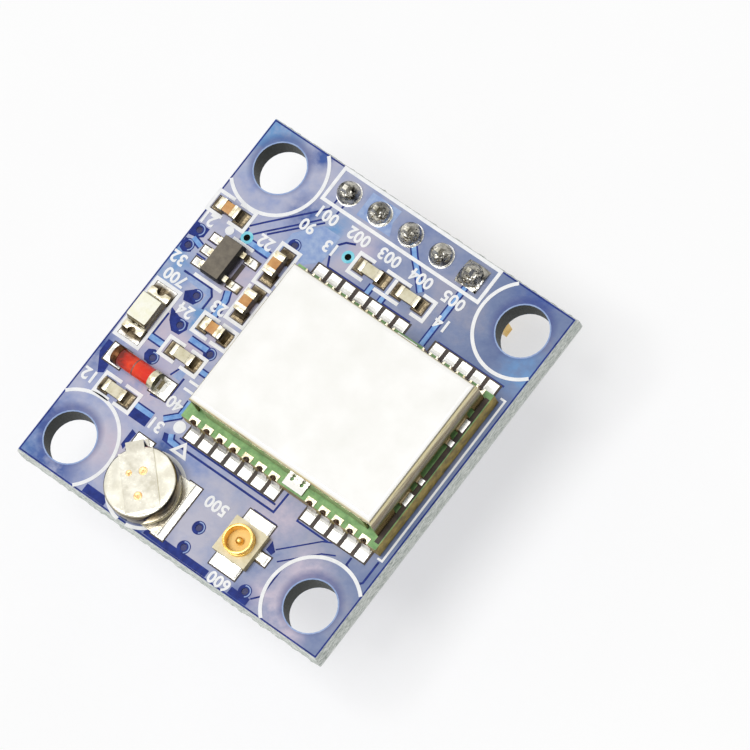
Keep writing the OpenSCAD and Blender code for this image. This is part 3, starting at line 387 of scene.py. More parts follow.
def make_materials():
    """Finished materials by name: the record's slots first, then the looks of single pieces."""
    def metal(name, dark, light, scale=1.5, rough=(0.22, 0.38), grain=8.0, depth=0.012, **more):
        return mottled(name, (dark, light), scale, rough, grain, depth, Metallic=1.0, **more)

    def plastic(name, dark, light, rough=(0.45, 0.6), grain=16.0, depth=0.008, **more):
        return mottled(name, (dark, light), 2.0, rough, grain, depth, **more)

    def walled(top_dark, top_light):
        return {"other": (top_dark, top_light), "where": upward}

    gold = srgb(214, 168, 76), srgb(246, 216, 140)
    tin = srgb(222, 220, 213), srgb(246, 245, 240)
    # Tones of the painted shade and dark reflection on the solder round the chips
    shaded_tin = srgb(58, 48, 36), srgb(146, 132, 106)
    return {
        "board_mask": board_mask(),
        "shield_steel": shield_steel(),
        "red_glass": red_glass(),
        "laminate": laminate(),
        "module_mask": plastic("module_mask", srgb(116, 98, 34), srgb(184, 160, 78),
                               (0.4, 0.55), 14.0, 0.01, **walled(srgb(100, 146, 84), srgb(146, 190, 122))),
        "solder": metal("solder", *tin),
        # Lands painted dark round the chips, for their shade and dark reflections
        "land_tin": metal("land_tin", *tin, other=shaded_tin, where=by_chips),
        "gold_plate": metal("gold_plate", *gold),
        # Cell: pale top, and walls painted dark brown as shade and dark reflection
        "cell_steel": metal("cell_steel", srgb(26, 20, 12), srgb(112, 94, 62), 0.9,
                            (0.14, 0.22), 6.0, 0.006, **walled(srgb(226, 221, 202), srgb(243, 240, 226))),
        "tab_steel": metal("tab_steel", srgb(214, 208, 190), srgb(240, 237, 224), 0.9,
                           (0.14, 0.22), 6.0, 0.006),
        "black_plastic": plastic("black_plastic", srgb(18, 18, 19), srgb(40, 40, 42)),
        "cream_plastic": socket_cream(plastic("cream_plastic", srgb(160, 144, 100), srgb(200, 186, 142),
                                              **walled(srgb(218, 207, 168), srgb(238, 230, 202)))),
        # Regulator: walls painted near black as shade, and the top painted lighter as lit
        "chip_black": plastic("chip_black", srgb(14, 13, 12), srgb(32, 30, 27), (0.5, 0.7), 22.0, 0.02,
                              **walled(srgb(92, 84, 72), srgb(124, 116, 102))),
        # Walls painted dark brown as shade under the lit tan top
        "ceramic_tan": plastic("ceramic_tan", srgb(62, 40, 22), srgb(104, 72, 42), (0.4, 0.55),
                               **walled(srgb(190, 132, 68), srgb(220, 168, 104))),
        # Walls painted dark as shade under the lit pale top
        "ceramic_white": plastic("ceramic_white", srgb(96, 86, 64), srgb(140, 128, 100),
                                 **walled(srgb(206, 200, 176), srgb(234, 229, 210))),
        "coat": plastic("coat", srgb(206, 198, 164), srgb(232, 226, 200), (0.25, 0.4)),
        # Lens: walls painted dark as shade under the pale lit top
        "lens": plastic("lens", srgb(84, 72, 44), srgb(140, 126, 86), (0.2, 0.34), 6.0, 0.01,
                        **walled(srgb(252, 250, 224), srgb(254, 253, 240))),
        "socket_gold": metal("socket_gold", *tin, other=gold, where=above(SOCKET_TIN)),
        "pin_gold": metal("pin_gold", *gold, other=(srgb(110, 106, 90), srgb(222, 218, 206)),
                          where=above(BOARD_TOP)),
        # Contacts: walls and half-holes painted dark as shade under pale plated tops
        "contact_plate": metal("contact_plate", srgb(60, 40, 16), srgb(120, 86, 42),
                               **walled(srgb(220, 206, 168), srgb(246, 239, 218))),
        # Chip ends and leads: walls painted dark as shade and dark reflection under bright tops
        "terminal_tin": metal("terminal_tin", srgb(40, 33, 22), srgb(108, 96, 70), 2.2, (0.2, 0.4), 5.0,
                              **walled(srgb(206, 194, 158), srgb(246, 240, 222))),
        # Header joints: strong dark and bright patches, partly painted reflection of dark surroundings
        "joint_tin": metal("joint_tin", srgb(16, 14, 12), srgb(222, 218, 206), 1.5, (0.1, 0.22), 1.3, 0.4),
        "cathode_tin": metal("cathode_tin", srgb(52, 32, 20), srgb(116, 78, 50), 3.0, (0.3, 0.5)),
        # Anode: its end face square to X painted dark as shade, its rim pale
        "anode_tin": metal("anode_tin", srgb(206, 196, 162), srgb(238, 232, 208), 3.0,
                           other=(srgb(52, 52, 34), srgb(108, 104, 74)), where=facing("X")),
        "gap_mask": plastic("gap_mask", srgb(10, 30, 104), srgb(34, 56, 140), (0.35, 0.45),
                            Specular_IOR_Level=0.2),
        "copper_mask": plastic("copper_mask", srgb(84, 138, 208), srgb(142, 184, 230), (0.35, 0.45)),
        "margin_mask": plastic("margin_mask", srgb(124, 150, 202), srgb(160, 180, 214), (0.35, 0.45)),
        "via_plug": plastic("via_plug", srgb(10, 14, 64), srgb(26, 32, 104), (0.3, 0.4)),
        # Dark gaps round the lands, also used for the painted shadow at the receiver board's right end
        "bare_gap_and_shade": plastic("bare_gap_and_shade", srgb(34, 26, 20), srgb(70, 56, 46)),
        "ink": plastic("ink", srgb(236, 238, 240), srgb(252, 252, 252), (0.55, 0.7), 12.0, 0.006),
        "via_cyan": plastic("via_cyan", srgb(92, 196, 222), srgb(150, 226, 238), (0.25, 0.35)),
        "glass_seam": plastic("glass_seam", srgb(120, 60, 50), srgb(170, 110, 96), (0.1, 0.2)),
        "weld": metal("weld", srgb(190, 140, 84), srgb(232, 204, 152), 5.0, (0.3, 0.5), 9.0, 0.02),
    }


# Flat shapes on the board, in millimetres

def stepped(high):
    """Height of the next shape in a layer."""
    return high + next(layer_turn) % LAYER_STEPS * LAYER_STEP


def strip(bm, left, right, high, closed):
    """Band between two rows of points, from just inside the board up to high above it."""
    low_l, low_r, high_l, high_r = (
        [bm.verts.new((x * MM, y * MM, (BOARD_TOP + z) * MM)) for x, y in side]
        for z in (-SINK, stepped(high)) for side in (left, right))
    count = len(left)
    for i in range(count if closed else count - 1):
        j = (i + 1) % count
        bm.faces.new((high_l[i], high_r[i], high_r[j], high_l[j]))
        bm.faces.new((low_l[j], low_r[j], low_r[i], low_l[i]))
        bm.faces.new((low_l[i], high_l[i], high_l[j], low_l[j]))
        bm.faces.new((high_r[i], low_r[i], low_r[j], high_r[j]))
    if not closed:
        bm.faces.new((low_l[0], low_r[0], high_r[0], high_l[0]))
        bm.faces.new((high_l[-1], high_r[-1], low_r[-1], low_l[-1]))


def offsets(points, closed):
    """Mitred side vector of unit half width at each point of a line."""
    count = len(points)
    normals = []
    for i in range(count if closed else count - 1):
        step = (points[(i + 1) % count] - points[i]).normalized()
        normals.append(Vector((-step.y, step.x)))
    sides = []
    for i in range(count):
        before = normals[i - 1] if i > 0 or closed else normals[0]
        after = normals[i % len(normals)] if i < len(normals) else normals[-1]
        sides.append((before + after) / (1 + before.dot(after)))
    return sides


def stroke(bm, line, width, high, closed=False):
    """Line of even width."""
    points = [Vector(p) for p in line]
    sides = offsets(points, closed)
    left = [p + s * width / 2 for p, s in zip(points, sides)]
    right = [p - s * width / 2 for p, s in zip(points, sides)]
    strip(bm, left, right, high, closed)


def inside(point, outline):
    """Whether a point lies in a closed outline."""
    x, y = point
    within = False
    for (x0, y0), (x1, y1) in zip(outline, outline[1:] + outline[:1]):
        if (y0 > y) != (y1 > y) and x < x0 + (y - y0) * (x1 - x0) / (y1 - y0):
            within = not within
    return within


def patch(bm, outline, high):
    """Flat filled shape, open over the vias in it."""
    openings = [spot for spot in VIAS + BARE_VIAS if inside(spot, outline)]
    loops = [outline] + [circle(*spot, VIA_R, VIA_SIDES) for spot in openings]
    faces = tessellate_polygon([[Vector((*p, 0)) for p in loop] for loop in loops])
    low, top = ([[bm.verts.new((x * MM, y * MM, (BOARD_TOP + z) * MM)) for x, y in loop] for loop in loops]
                for z in (-SINK, stepped(high)))
    for side in (low, top):
        verts = [v for loop in side for v in loop]
        for face in faces:
            bm.faces.new([verts[i] for i in face])
    for under, over in zip(low, top):
        for i in range(len(under)):
            j = (i + 1) % len(under)
            bm.faces.new((under[i], under[j], over[j], over[i]))


def circle(x, y, r, count=32):
    """Points round a circle."""
    turns = (2 * math.pi * k / count for k in range(count))
    return [(x + r * math.cos(a), y + r * math.sin(a)) for a in turns]


def ring(bm, x, y, inner, outer, high):
    """Flat ring."""
    strip(bm, circle(x, y, outer), circle(x, y, inner), high, True)


def arc(x, y, r, start, stop, count=24):
    """Points along an arc, from a start to a stop angle in degrees."""
    turns = (math.radians(start + (stop - start) * k / count) for k in range(count + 1))
    return [(x + r * math.cos(a), y + r * math.sin(a)) for a in turns]


def rectangle(x0, y0, x1, y1):
    """Corners of a rectangle."""
    return [(x0, y0), (x1, y0), (x1, y1), (x0, y1)]


def inside_runs(points, margin):
    """Runs of points of a closed line that lie on the board, clear of its edges."""
    def on_board(p):
        return (BOARD_LOW.x + margin < p[0] < BOARD_HIGH.x - margin
                and BOARD_LOW.y + margin < p[1] < BOARD_HIGH.y - margin)
    start = next(i for i, p in enumerate(points) if not on_board(p))
    runs, run = [], []
    for p in points[start:] + points[:start + 1]:
        if on_board(p):
            run.append(p)
        elif run:
            runs.append(run)
            run = []
    return runs


NUMBER_BOLD = 0.028
NUMBER_HALF = 0.5


def number(bm, digits, x, y, height, turn, high):
    """Plain number with its middle at x, y."""
    curve = bpy.data.curves.new("number", "FONT")
    curve.body = digits
    curve.offset = NUMBER_BOLD
    curve.extrude = NUMBER_HALF
    curve.resolution_u = 3
    holder = bpy.data.objects.new("number", curve)
    bpy.context.scene.collection.objects.link(holder)
    mesh = bpy.data.meshes.new_from_object(holder.evaluated_get(bpy.context.evaluated_depsgraph_get()))
    xs, ys = ([v.co[k] for v in mesh.vertices] for k in (0, 1))
    size = height / (max(ys) - min(ys))
    centre = Vector(((max(xs) + min(xs)) / 2, (max(ys) + min(ys)) / 2, -NUMBER_HALF))
    thick = Matrix.Diagonal((size, size, high + SINK, 1))
    place = Matrix.Translation((x, y, BOARD_TOP - SINK)) @ Matrix.Rotation(math.radians(turn), 4, "Z")
    mesh.transform(Matrix.Scale(MM, 4) @ place @ thick @ Matrix.Translation(-centre))
    bm.from_mesh(mesh)
    bpy.data.objects.remove(holder)
    bpy.data.curves.remove(curve)
    bpy.data.meshes.remove(mesh)


def piece(name, bm, mat):
    """New object from a bmesh, riding on the one body."""
    bmesh.ops.recalc_face_normals(bm, faces=bm.faces)
    mesh = bpy.data.meshes.new(name)
    bm.to_mesh(mesh)
    bm.free()
    mesh.materials.append(mat)
    made = bpy.data.objects.new(name, mesh)
    bpy.context.scene.collection.objects.link(made)
    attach(made, "root")


# White print

INK_W = 0.24
INK_R, INK_SIDES, INK_MARGIN = 3.22, 120, 0.16
CELL_R, CELL_SIDES, CELL_MARGIN = 2.56, 96, 0.1
SHORTEST_ARC = 10
BRACKETS = [(-12.35, 6.15, -9.35, 7.6), (-8.8, -3.25, -5.8, -1.95), (-10.75, -7.55, -7.9, -6.15),
            (-7.95, -0.85, -5.2, 0.55)]
BRACKET_ARM = 1.25
BOXES = [(-12.05, -3.8, -10.1, 0.65), (-6.4, 10.83, 6.4, 13.27)]
INK_LINES = [
    [(-5.2, 4.45), (-5.2, 7.0), (-6.65, 7.0), (-6.65, 3.95), (-5.2, 3.95)],
    [(-6.65, 3.7), (-6.65, 1.05), (-5.2, 1.05), (-5.2, 3.6)],
    [(-0.75, 9.3), (-1.95, 9.3), (-1.95, 7.85), (-0.75, 7.85)],
    [(0.2, 9.3), (2.2, 9.3)], [(0.2, 7.85), (2.2, 7.85)], [(1.15, 9.15), (1.15, 8.0)],
    [(3.2, 9.3), (4.2, 9.3), (4.2, 7.85), (3.2, 7.85)],
    [(-9.6, 5.5), (-7.9, 5.5)], [(-10.2, 2.2), (-7.9, 2.2)]]
END_LINE = [(11.6, 6.6), (11.97, 6.6), (11.97, -6.05), (11.6, -6.05)]
END_LINE_W = 0.14
TRIANGLE = [(-3.9, -7.85), (-2.9, -7.85), (-3.4, -7.1)]
TRIANGLE_W = 0.2
DOT_SIDES = 24
DOTS = [(-10.1, 5.75, 0.3), (-4.45, -6.4, 0.42)]
NUMBERS = [("001", -5.3, 10.05, 180), ("002", -2.75, 10.05, 180), ("003", -0.2, 10.05, 180),
           ("004", 2.4, 10.05, 180), ("005", 5.05, 10.05, 180), ("90", -6.0, 8.8, 180),
           ("13", -3.9, 8.45, 180), ("14", 5.3, 8.4, 180), ("21", -11.7, 5.6, 180),
           ("22", -7.6, 6.4, 180), ("32", -11.75, 2.45, 180), ("700", -11.1, 1.3, 180),
           ("24", -9.1, -0.1, 180), ("23", -7.35, 1.25, 180), ("11", -5.45, -3.9, 90),
           ("40", -5.7, -5.35, 180), ("12", -11.7, -6.95, 180), ("31", -5.8, -7.15, 180),
           ("500", 0.85, -9.15, 180), ("600", 4.1, -12.95, 180)]
NUMBER_H = 0.86


def white_print(mats):
    """Outlines, dots and plain numbers."""
    bm = bmesh.new()
    for x, y in HOLES:
        for run in inside_runs(circle(x, y, INK_R, INK_SIDES), INK_MARGIN):
            if len(run) > SHORTEST_ARC:
                stroke(bm, run, INK_W, INK_H)
    for run in inside_runs(circle(*CELL_MIDDLE, CELL_R, CELL_SIDES), CELL_MARGIN):
        stroke(bm, run, INK_W, INK_H)
    for x0, y0, x1, y1 in BRACKETS:
        for x, arm in ((x0, BRACKET_ARM), (x1, -BRACKET_ARM)):
            stroke(bm, [(x + arm, y0), (x, y0), (x, y1), (x + arm, y1)], INK_W, INK_H)
    for box in BOXES:
        stroke(bm, rectangle(*box), INK_W, INK_H, closed=True)
    for line in INK_LINES:
        stroke(bm, line, INK_W, INK_H)
    stroke(bm, END_LINE, END_LINE_W, INK_H)
    for x, y, r in DOTS:
        patch(bm, circle(x, y, r, DOT_SIDES), INK_H)
    stroke(bm, TRIANGLE, TRIANGLE_W, INK_H, closed=True)
    for digits, x, y, turn in NUMBERS:
        number(bm, digits, x, y, NUMBER_H, turn, INK_H)
    piece("white_print", bm, mats["ink"])


# Copper under the mask

TRACES = [
    (0.34, [(-8.6, 5.85), (-6.85, 5.85)]),
    (0.3, [(5.12, 11.3), (5.12, 6.6)]),
    (0.3, [(0.55, 11.6), (1.1, 11.0), (2.0, 10.2), (2.9, 9.3)]),
    (0.3, [(0.02, 8.0), (0.02, 7.3)]), (0.3, [(1.1, 8.0), (1.1, 7.3)]),
    (0.36, [(-7.6, 2.5), (-7.35, 1.9), (-7.3, 0.5)]),
    (0.34, [(-7.65, -1.38), (-6.2, -1.38)]),
    (0.36, [(-10.1, -2.68), (-8.7, -2.68)]), (0.3, [(-5.75, -2.72), (-4.6, -2.72)]),
    (0.34, [(-7.95, -6.82), (-6.4, -6.82)]),
    (0.3, [(-4.92, -4.7), (-4.92, -5.8), (-5.7, -6.55)]),
    (0.34, [(-4.62, -7.05), (-4.4, -7.45), (-3.7, -7.5)]),
    (0.3, [(-11.8, 4.1), (-11.0, 3.87)])]
TRACE_CLEAR = 0.11
# Dark line along the board's edges: distance from them and width
RIM_INSET, RIM_W = 0.19, 0.1
# Wide traces in the colour of the board, of which only the edges show: width, side lines, route
WIDE_TRACES = [
    (0.62, 0.13, [(-9.0, 6.5), (-8.3, 7.25), (-6.1, 9.5), (-5.25, 10.4), (-5.2, 11.4)]),
    (0.8, 0.1, [(6.1, -9.55), (8.2, -7.5), (9.1, -7.05)])]
GAP_LINES = [
    (0.13, [(-4.0, -6.95), (3.95, -6.95)]),
    (0.15, [(-4.3, -7.4), (4.15, -7.4), (4.2, -5.9)]),
    (0.13, [(5.78, -5.9), (5.78, -7.0), (8.3, -7.0)]),
    (0.15, [(10.2, -6.95), (10.2, -7.5), (10.6, -7.68), (11.55, -8.12), (11.82, -7.85), (11.82, -6.2)]),
    (0.5, [(-0.2, -13.0), (3.15, -13.0)]), (0.5, [(5.0, -12.98), (6.5, -12.98)]),
    (0.6, [(-7.1, -12.95), (-5.3, -12.95)]), (0.5, [(-2.0, -12.95), (-0.2, -13.0)]),
    (0.12, [(6.95, -9.9), (6.95, -12.2), (6.5, -12.7)]), (0.2, [(-9.95, -0.8), (-9.95, -2.4)]),
    (0.13, [(-6.9, -3.2), (-7.2, -4.0)]), (0.15, [(-6.28, -3.7), (-6.3, -5.55), (-7.5, -5.72)]),
    (0.15, [(-2.6, 9.55), (-3.2, 9.3), (-3.55, 8.9), (-3.55, 8.0), (-3.2, 7.35), (-0.2, 7.35)]),
    (0.15, [(1.35, 7.35), (3.6, 7.35)]), (0.14, [(5.9, 7.32), (11.3, 7.32)]),
    (0.15, [(-10.9, 2.0), (-8.6, 2.0), (-8.25, 1.6), (-8.25, 0.6)]),
    (0.15, [(-9.15, 6.6), (-9.15, 5.62), (-6.9, 5.62)]),
    (0.13, [(-7.9, 6.9), (-5.2, 9.6)]), (0.12, [(3.0, -7.98), (4.9, -7.98)]),
    (0.12, [(-10.95, 4.5), (-10.2, 4.5)]), (0.12, [(-10.95, 3.35), (-10.2, 3.35)])]
GAP_PATCHES = [
    [(-12.3, 5.1), (-11.25, 5.1), (-11.25, 4.45), (-11.6, 4.2), (-12.25, 4.1)],
    [(-12.25, 3.85), (-11.45, 3.85), (-11.35, 3.2), (-11.8, 2.95), (-12.2, 3.1)],
    [(-10.0, 0.95), (-9.6, 1.3), (-9.2, 1.48), (-8.78, 1.35), (-8.72, 0.9), (-8.95, 0.5), (-9.7, 0.4)],
    [(-10.05, -0.35), (-9.2, -0.6), (-8.4, -0.6), (-8.2, -1.05), (-8.45, -1.6), (-9.05, -1.65),
     (-9.6, -1.15)],
    [(-12.1, -4.35), (-11.7, -4.35), (-11.7, -5.6), (-11.0, -5.7), (-10.95, -6.3), (-11.3, -6.5),
     (-12.1, -5.3)],
    [(-7.85, -7.65), (-6.4, -7.65), (-6.4, -7.02), (-7.85, -7.02)],
    [(-6.95, -8.2), (-6.55, -8.3), (-6.65, -9.6), (-6.95, -9.4)],
    [(-9.5, -3.4), (-9.1, -3.2), (-8.6, -3.3), (-8.45, -3.9), (-8.8, -4.2), (-9.3, -4.15), (-9.55, -3.8)],
    [(5.3, -8.9), (5.9, -9.4), (5.8, -9.7), (5.3, -9.6)],
    [(-5.1, -7.2), (-4.85, -7.15), (-4.5, -7.7), (-3.9, -7.65), (-3.95, -7.75), (-4.9, -7.7)]]
FILLS = [
    [(-6.6, 6.6), (-4.6, 6.6), (-3.7, 7.4), (-3.75, 9.4), (-5.1, 9.4), (-6.55, 7.9)],
    [(-10.4, 1.95), (-8.65, 1.95), (-8.35, 1.6), (-8.35, 0.55), (-8.6, 0.5), (-8.65, 1.5), (-10.4, 1.6)],
    [(-3.85, 12.95), (-1.5, 12.95), (-1.5, 12.0), (-1.1, 11.15), (-3.85, 11.15)],
    [(-6.85, -3.35), (-6.4, -3.35), (-6.4, -4.0), (-7.05, -4.0)]]


def copper(mats):
    """Gaps in the copper, traces and fills, and the lines along the board's edges."""
    gaps, traces, fills = bmesh.new(), bmesh.new(), bmesh.new()
    for width, line in GAP_LINES:
        stroke(gaps, line, width, GAP_H)
    for outline in GAP_PATCHES:
        patch(gaps, outline, GAP_H)
    for width, line in TRACES:
        stroke(gaps, line, width + 2 * TRACE_CLEAR, GAP_H)
        stroke(traces, line, width, COPPER_H)
    for width, edge_w, line in WIDE_TRACES:
        points = [Vector(p) for p in line]
        sides = offsets(points, False)
        for half in (-width / 2, width / 2):
            stroke(gaps, [p + s * half for p, s in zip(points, sides)], edge_w, GAP_H)
    for outline in FILLS:
        patch(fills, outline, FILL_H)
    edge = rectangle(BOARD_LOW.x + RIM_INSET, BOARD_LOW.y + RIM_INSET,
                     BOARD_HIGH.x - RIM_INSET, BOARD_HIGH.y - RIM_INSET)
    stroke(gaps, edge, RIM_W, GAP_H, closed=True)
    piece("copper_gaps", gaps, mats["gap_mask"])
    piece("copper_traces", traces, mats["copper_mask"])
    piece("copper_fills", fills, mats["margin_mask"])


def land_boxes():
    """Low and high corner of each solder land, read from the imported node."""
    bm = bmesh.new()
    bm.from_mesh(frame["nodes"]["solder_lands"].data)
    bmesh.ops.remove_doubles(bm, verts=bm.verts, dist=1e-6)
    boxes, seen = [], set()
    for start in bm.verts:
        if start in seen:
            continue
        seen.add(start)
        island, queue = [], [start]
        while queue:
            vert = queue.pop()
            island.append(vert.co / MM)
            for edge in vert.link_edges:
                other = edge.other_vert(vert)
                if other not in seen:
                    seen.add(other)
                    queue.append(other)
        boxes.append((min(c.x for c in island), min(c.y for c in island),
                      max(c.x for c in island), max(c.y for c in island)))
    bm.free()
    return boxes


HALF_GAP = 0.15
GAP_PAST = 0.1
BORDER_CLEAR, BORDER_W = 0.04, 0.1
HEADER_FRONT = 10.5
# Painted shadow between the regulator's right leads, where its body's shade falls
REGULATOR_SHADOW = (-8.0, 3.25, -7.7, 4.45)


def land_gaps(mats):
    """Bare dark laminate between the receiver's lands and round the other lands, and a painted shadow
    between the regulator's right leads.
    """
    bare = bmesh.new()
    low, high = (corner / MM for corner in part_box("module_board"))
    for x0, y0, x1, y1 in land_boxes():
        if low.x < (x0 + x1) / 2 < high.x and (y0 < low.y < y1 or y0 < high.y < y1):
            ground = rectangle(x0 - HALF_GAP, y0 - GAP_PAST, x1 + HALF_GAP, y1 + GAP_PAST)
            patch(bare, ground, LAND_GAP_H)
        elif y1 < HEADER_FRONT:
            border = rectangle(x0 - BORDER_CLEAR, y0 - BORDER_CLEAR, x1 + BORDER_CLEAR, y1 + BORDER_CLEAR)
            stroke(bare, border, BORDER_W, LAND_GAP_H, closed=True)
    patch(bare, rectangle(*REGULATOR_SHADOW), LAND_GAP_H)
    piece("land_gaps", bare, mats["bare_gap_and_shade"])


VIA_DARK_R = 0.46
# Painted highlight on one side of each covered via's rim: radius, width and span in degrees
VIA_LIP_R, VIA_LIP_W, VIA_LIP_TURN = 0.36, 0.08, (-60, 120)
VIA_RING_W = 0.2
VIA_TAIL, VIA_TAIL_W = [(-2.1, 8.6), (-1.5, 8.6)], 0.3
PLUG_DEPTHS = (0.3, 0.03)
PLUG_CLEAR = 0.005


def vias(mats):
    """Deep rings and plugs of mask at the covered vias, each with a painted highlight on one side of its
    rim, and bright rings round the bare ones.
    """
    dark, pale, bright, plugs = (bmesh.new() for _ in range(4))
    for x, y in VIAS:
        ring(dark, x, y, VIA_R, VIA_DARK_R, VIA_H)
        stroke(pale, arc(x, y, VIA_LIP_R, *VIA_LIP_TURN), VIA_LIP_W, COPPER_H)
        disc = circle(x, y, VIA_R - PLUG_CLEAR, VIA_SIDES)
        lathe(plugs, [[(px * MM, py * MM, (BOARD_TOP - depth) * MM) for px, py in disc]
                      for depth in PLUG_DEPTHS])
    for x, y in BARE_VIAS:
        ring(bright, x, y, VIA_R, VIA_R + VIA_RING_W, COPPER_H)
    stroke(bright, VIA_TAIL, VIA_TAIL_W, COPPER_H)
    piece("via_surrounds", dark, mats["gap_mask"])
    piece("via_lips", pale, mats["margin_mask"])
    piece("via_rings", bright, mats["via_cyan"])
    piece("via_plugs", plugs, mats["via_plug"])


LIP_W = 0.09


def hole_rims(mats):
    """Thin pale lip round each mounting hole, on both faces."""
    pale = bmesh.new()
    for x, y in HOLES:
        ring(pale, x, y, HOLE_R, HOLE_R + LIP_W, GAP_H)
    mirror_under(pale)
    piece("hole_lips", pale, mats["margin_mask"])


def mirror_under(bm):
    """Repeats a layer on the board's underside."""
    made = bmesh.ops.duplicate(bm, geom=bm.verts[:] + bm.edges[:] + bm.faces[:])["geom"]
    for vert in made:
        if isinstance(vert, bmesh.types.BMVert):
            vert.co.z = BOARD_TOP * MM - vert.co.z


# Broken edges of the board

EDGE_STEP = 0.08
EDGE_ROWS = 8
EDGE_BAND = (0.42, 1.18)
EDGE_ROUGH = 0.13
GRAIN_ALONG, GRAIN_UP = 1.7, 3
EDGE_TAPER = 3
SWELL_MEAN, SWELL_RANGE = 0.55, 0.75


def broken_edges(mats):
    """Rough web left where the board was snapped along its scores."""
    bm = bmesh.new()
    half_w, half_l = BOARD_HIGH.x, BOARD_HIGH.y
    for turn in (0, 90, 180, 270):
        reach, half = (half_w, half_l) if turn % 180 == 0 else (half_l, half_w)
        place = Matrix.Scale(MM, 4) @ Matrix.Rotation(math.radians(turn), 4, "Z")
        count = int(2 * half / EDGE_STEP)
        rows = []
        for r in range(EDGE_ROWS + 1):
            share = r / EDGE_ROWS
            z = EDGE_BAND[0] + share * (EDGE_BAND[1] - EDGE_BAND[0])
            row = []
            for k in range(count + 1):
                along = -half + 2 * half * k / count
                seed = Vector((along * GRAIN_ALONG, z * GRAIN_UP, turn))
                swell = math.sin(math.pi * share) * min(1, k / EDGE_TAPER, (count - k) / EDGE_TAPER)
                rough = SWELL_MEAN + SWELL_RANGE * noise.fractal(seed, 1.0, 2.0, 4)
                out = swell * EDGE_ROUGH * rough
                row.append(bm.verts.new(place @ Vector((reach - SINK + max(0, out), along, z))))
            rows.append(row)
        for low, high in zip(rows, rows[1:]):
            for k in range(count):
                bm.faces.new((low[k], low[k + 1], high[k + 1], high[k]))
    piece("broken_edges", bm, mats["laminate"])


# Weld spots on the backup cell and the seam in the diode

WELDS = [(-0.21, 0.67, 0.3), (0.56, -0.81, 0.3), (-0.89, 0.03, 0.22)]
WELD_PROFILE = [(1.0, -0.004), (0.86, 0.012), (0.62, 0.016), (0.36, 0.004), (0.12, 0.0)]
WELD_SIDES = 20
SEAM_W = 0.12
SEAM_PROFILE = [(-0.5, -0.02), (-0.4, 0.006), (0.4, 0.006), (0.5, -0.02)]
SEAM_SIDES = 40


def lathe(bm, rings):
    """Closed solid through rings of points."""
    count = len(rings[0])
    loops = [[bm.verts.new(point) for point in points] for points in rings]
    for low, high in zip(loops, loops[1:]):
        for i in range(count):
            j = (i + 1) % count
            bm.faces.new((low[i], low[j], high[j], high[i]))
    bm.faces.new(loops[-1])
    bm.faces.new(loops[0][::-1])


def welds(mats):
    """Three shallow weld spots pressed through the cell's top tab."""
    bm = bmesh.new()
    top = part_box("cell_top_tab")[1].z
    for dx, dy, r in WELDS:
        x, y = CELL_MIDDLE[0] + dx, CELL_MIDDLE[1] + dy
        lathe(bm, [[(px * MM, py * MM, top + rise * MM) for px, py in circle(x, y, r * share, WELD_SIDES)]
                   for share, rise in WELD_PROFILE])
    piece("weld_spots", bm, mats["weld"])


def glass_seam(mats):
    """Dark line round the glass where the two studs meet the die."""
    bm = bmesh.new()
    low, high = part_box("diode_glass")
    middle, r = (low + high) / 2, (high.z - low.z) / 2
    rings = []
    for dx, grow in SEAM_PROFILE:
        x = middle.x + dx * SEAM_W * MM
        points = circle(middle.y, middle.z, r + grow * MM, SEAM_SIDES)
        rings.append([(x, y, z) for y, z in points])
    lathe(bm, rings)
    piece("glass_seam", bm, mats["glass_seam"])


# Capacitor ends and the painted shadow at the receiver board's right end

def block(bm, low, high):
    """Box between two corners."""
    for vert in bmesh.ops.create_cube(bm, size=1)["verts"]:
        vert.co = [(a + (b - a) * (c + 0.5)) * MM for a, b, c in zip(low, high, vert.co)]


BAND = (0.25, 0.47)
BAND_PROUD = 0.005


def capacitor_bands(mats):
    """Plated bands that reach further over each capacitor than its end caps."""
    bm = bmesh.new()
    for i in range(1, 5):
        low, high = (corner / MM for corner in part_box(f"capacitor_{i}_terminals"))
        axis = 0 if high.x - low.x > high.y - low.y else 1
        for end, inward in ((low, 1), (high, -1)):
            corner, other = low.copy(), high.copy()
            corner[axis], other[axis] = (end[axis] + inward * reach for reach in BAND)
            corner[1 - axis] -= BAND_PROUD
            other[1 - axis] += BAND_PROUD
            other.z += BAND_PROUD
            block(bm, corner, other)
    piece("capacitor_bands", bm, mats["terminal_tin"])


END_CLEAR, END_INSET = 0.4, 0.06


def painted_end_shadow(mats):
    """Painted shadow: dark strip between the shield and the receiver board's right end, where the lid's
    shade falls.
    """
    bm = bmesh.new()
    low, high = (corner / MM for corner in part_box("module_board"))
    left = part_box("shield_can")[1].x / MM
    block(bm, (left, low.y + END_CLEAR, high.z - SINK),
          (high.x - END_INSET, high.y - END_CLEAR, high.z + GAP_H))
    piece("painted_end_shadow", bm, mats["bare_gap_and_shade"])


# CAD nodes

LOOKS = {"header_solder": "joint_tin", "chip_solder": "land_tin", "solder_lands": "land_tin",
         "diode_cathode": "cathode_tin", "diode_anode": "anode_tin",
         "cell_top_tab": "tab_steel", "socket_shell": "socket_gold", "socket_contact": "socket_gold",
         "module_contacts": "contact_plate", "led_terminals": "terminal_tin",
         "regulator_leads": "terminal_tin"}
BEVELS = {"socket_base": 0.06, "socket_shell": 0.025, "led_base": 0.03, "led_lens": 0.06,
          "led_terminals": 0.02, "regulator_body": 0.05, "header_strip": 0.06, "cell_cap": 0.05,
          "cell_can": 0.06, "cell_top_tab": 0.025, "cell_bottom_tab": 0.025, "diode_cathode": 0.05,
          "diode_anode": 0.05}
CHIP_BEVEL = 0.02
WELD_REACH = 1e-7
BEVEL_ANGLE = 40


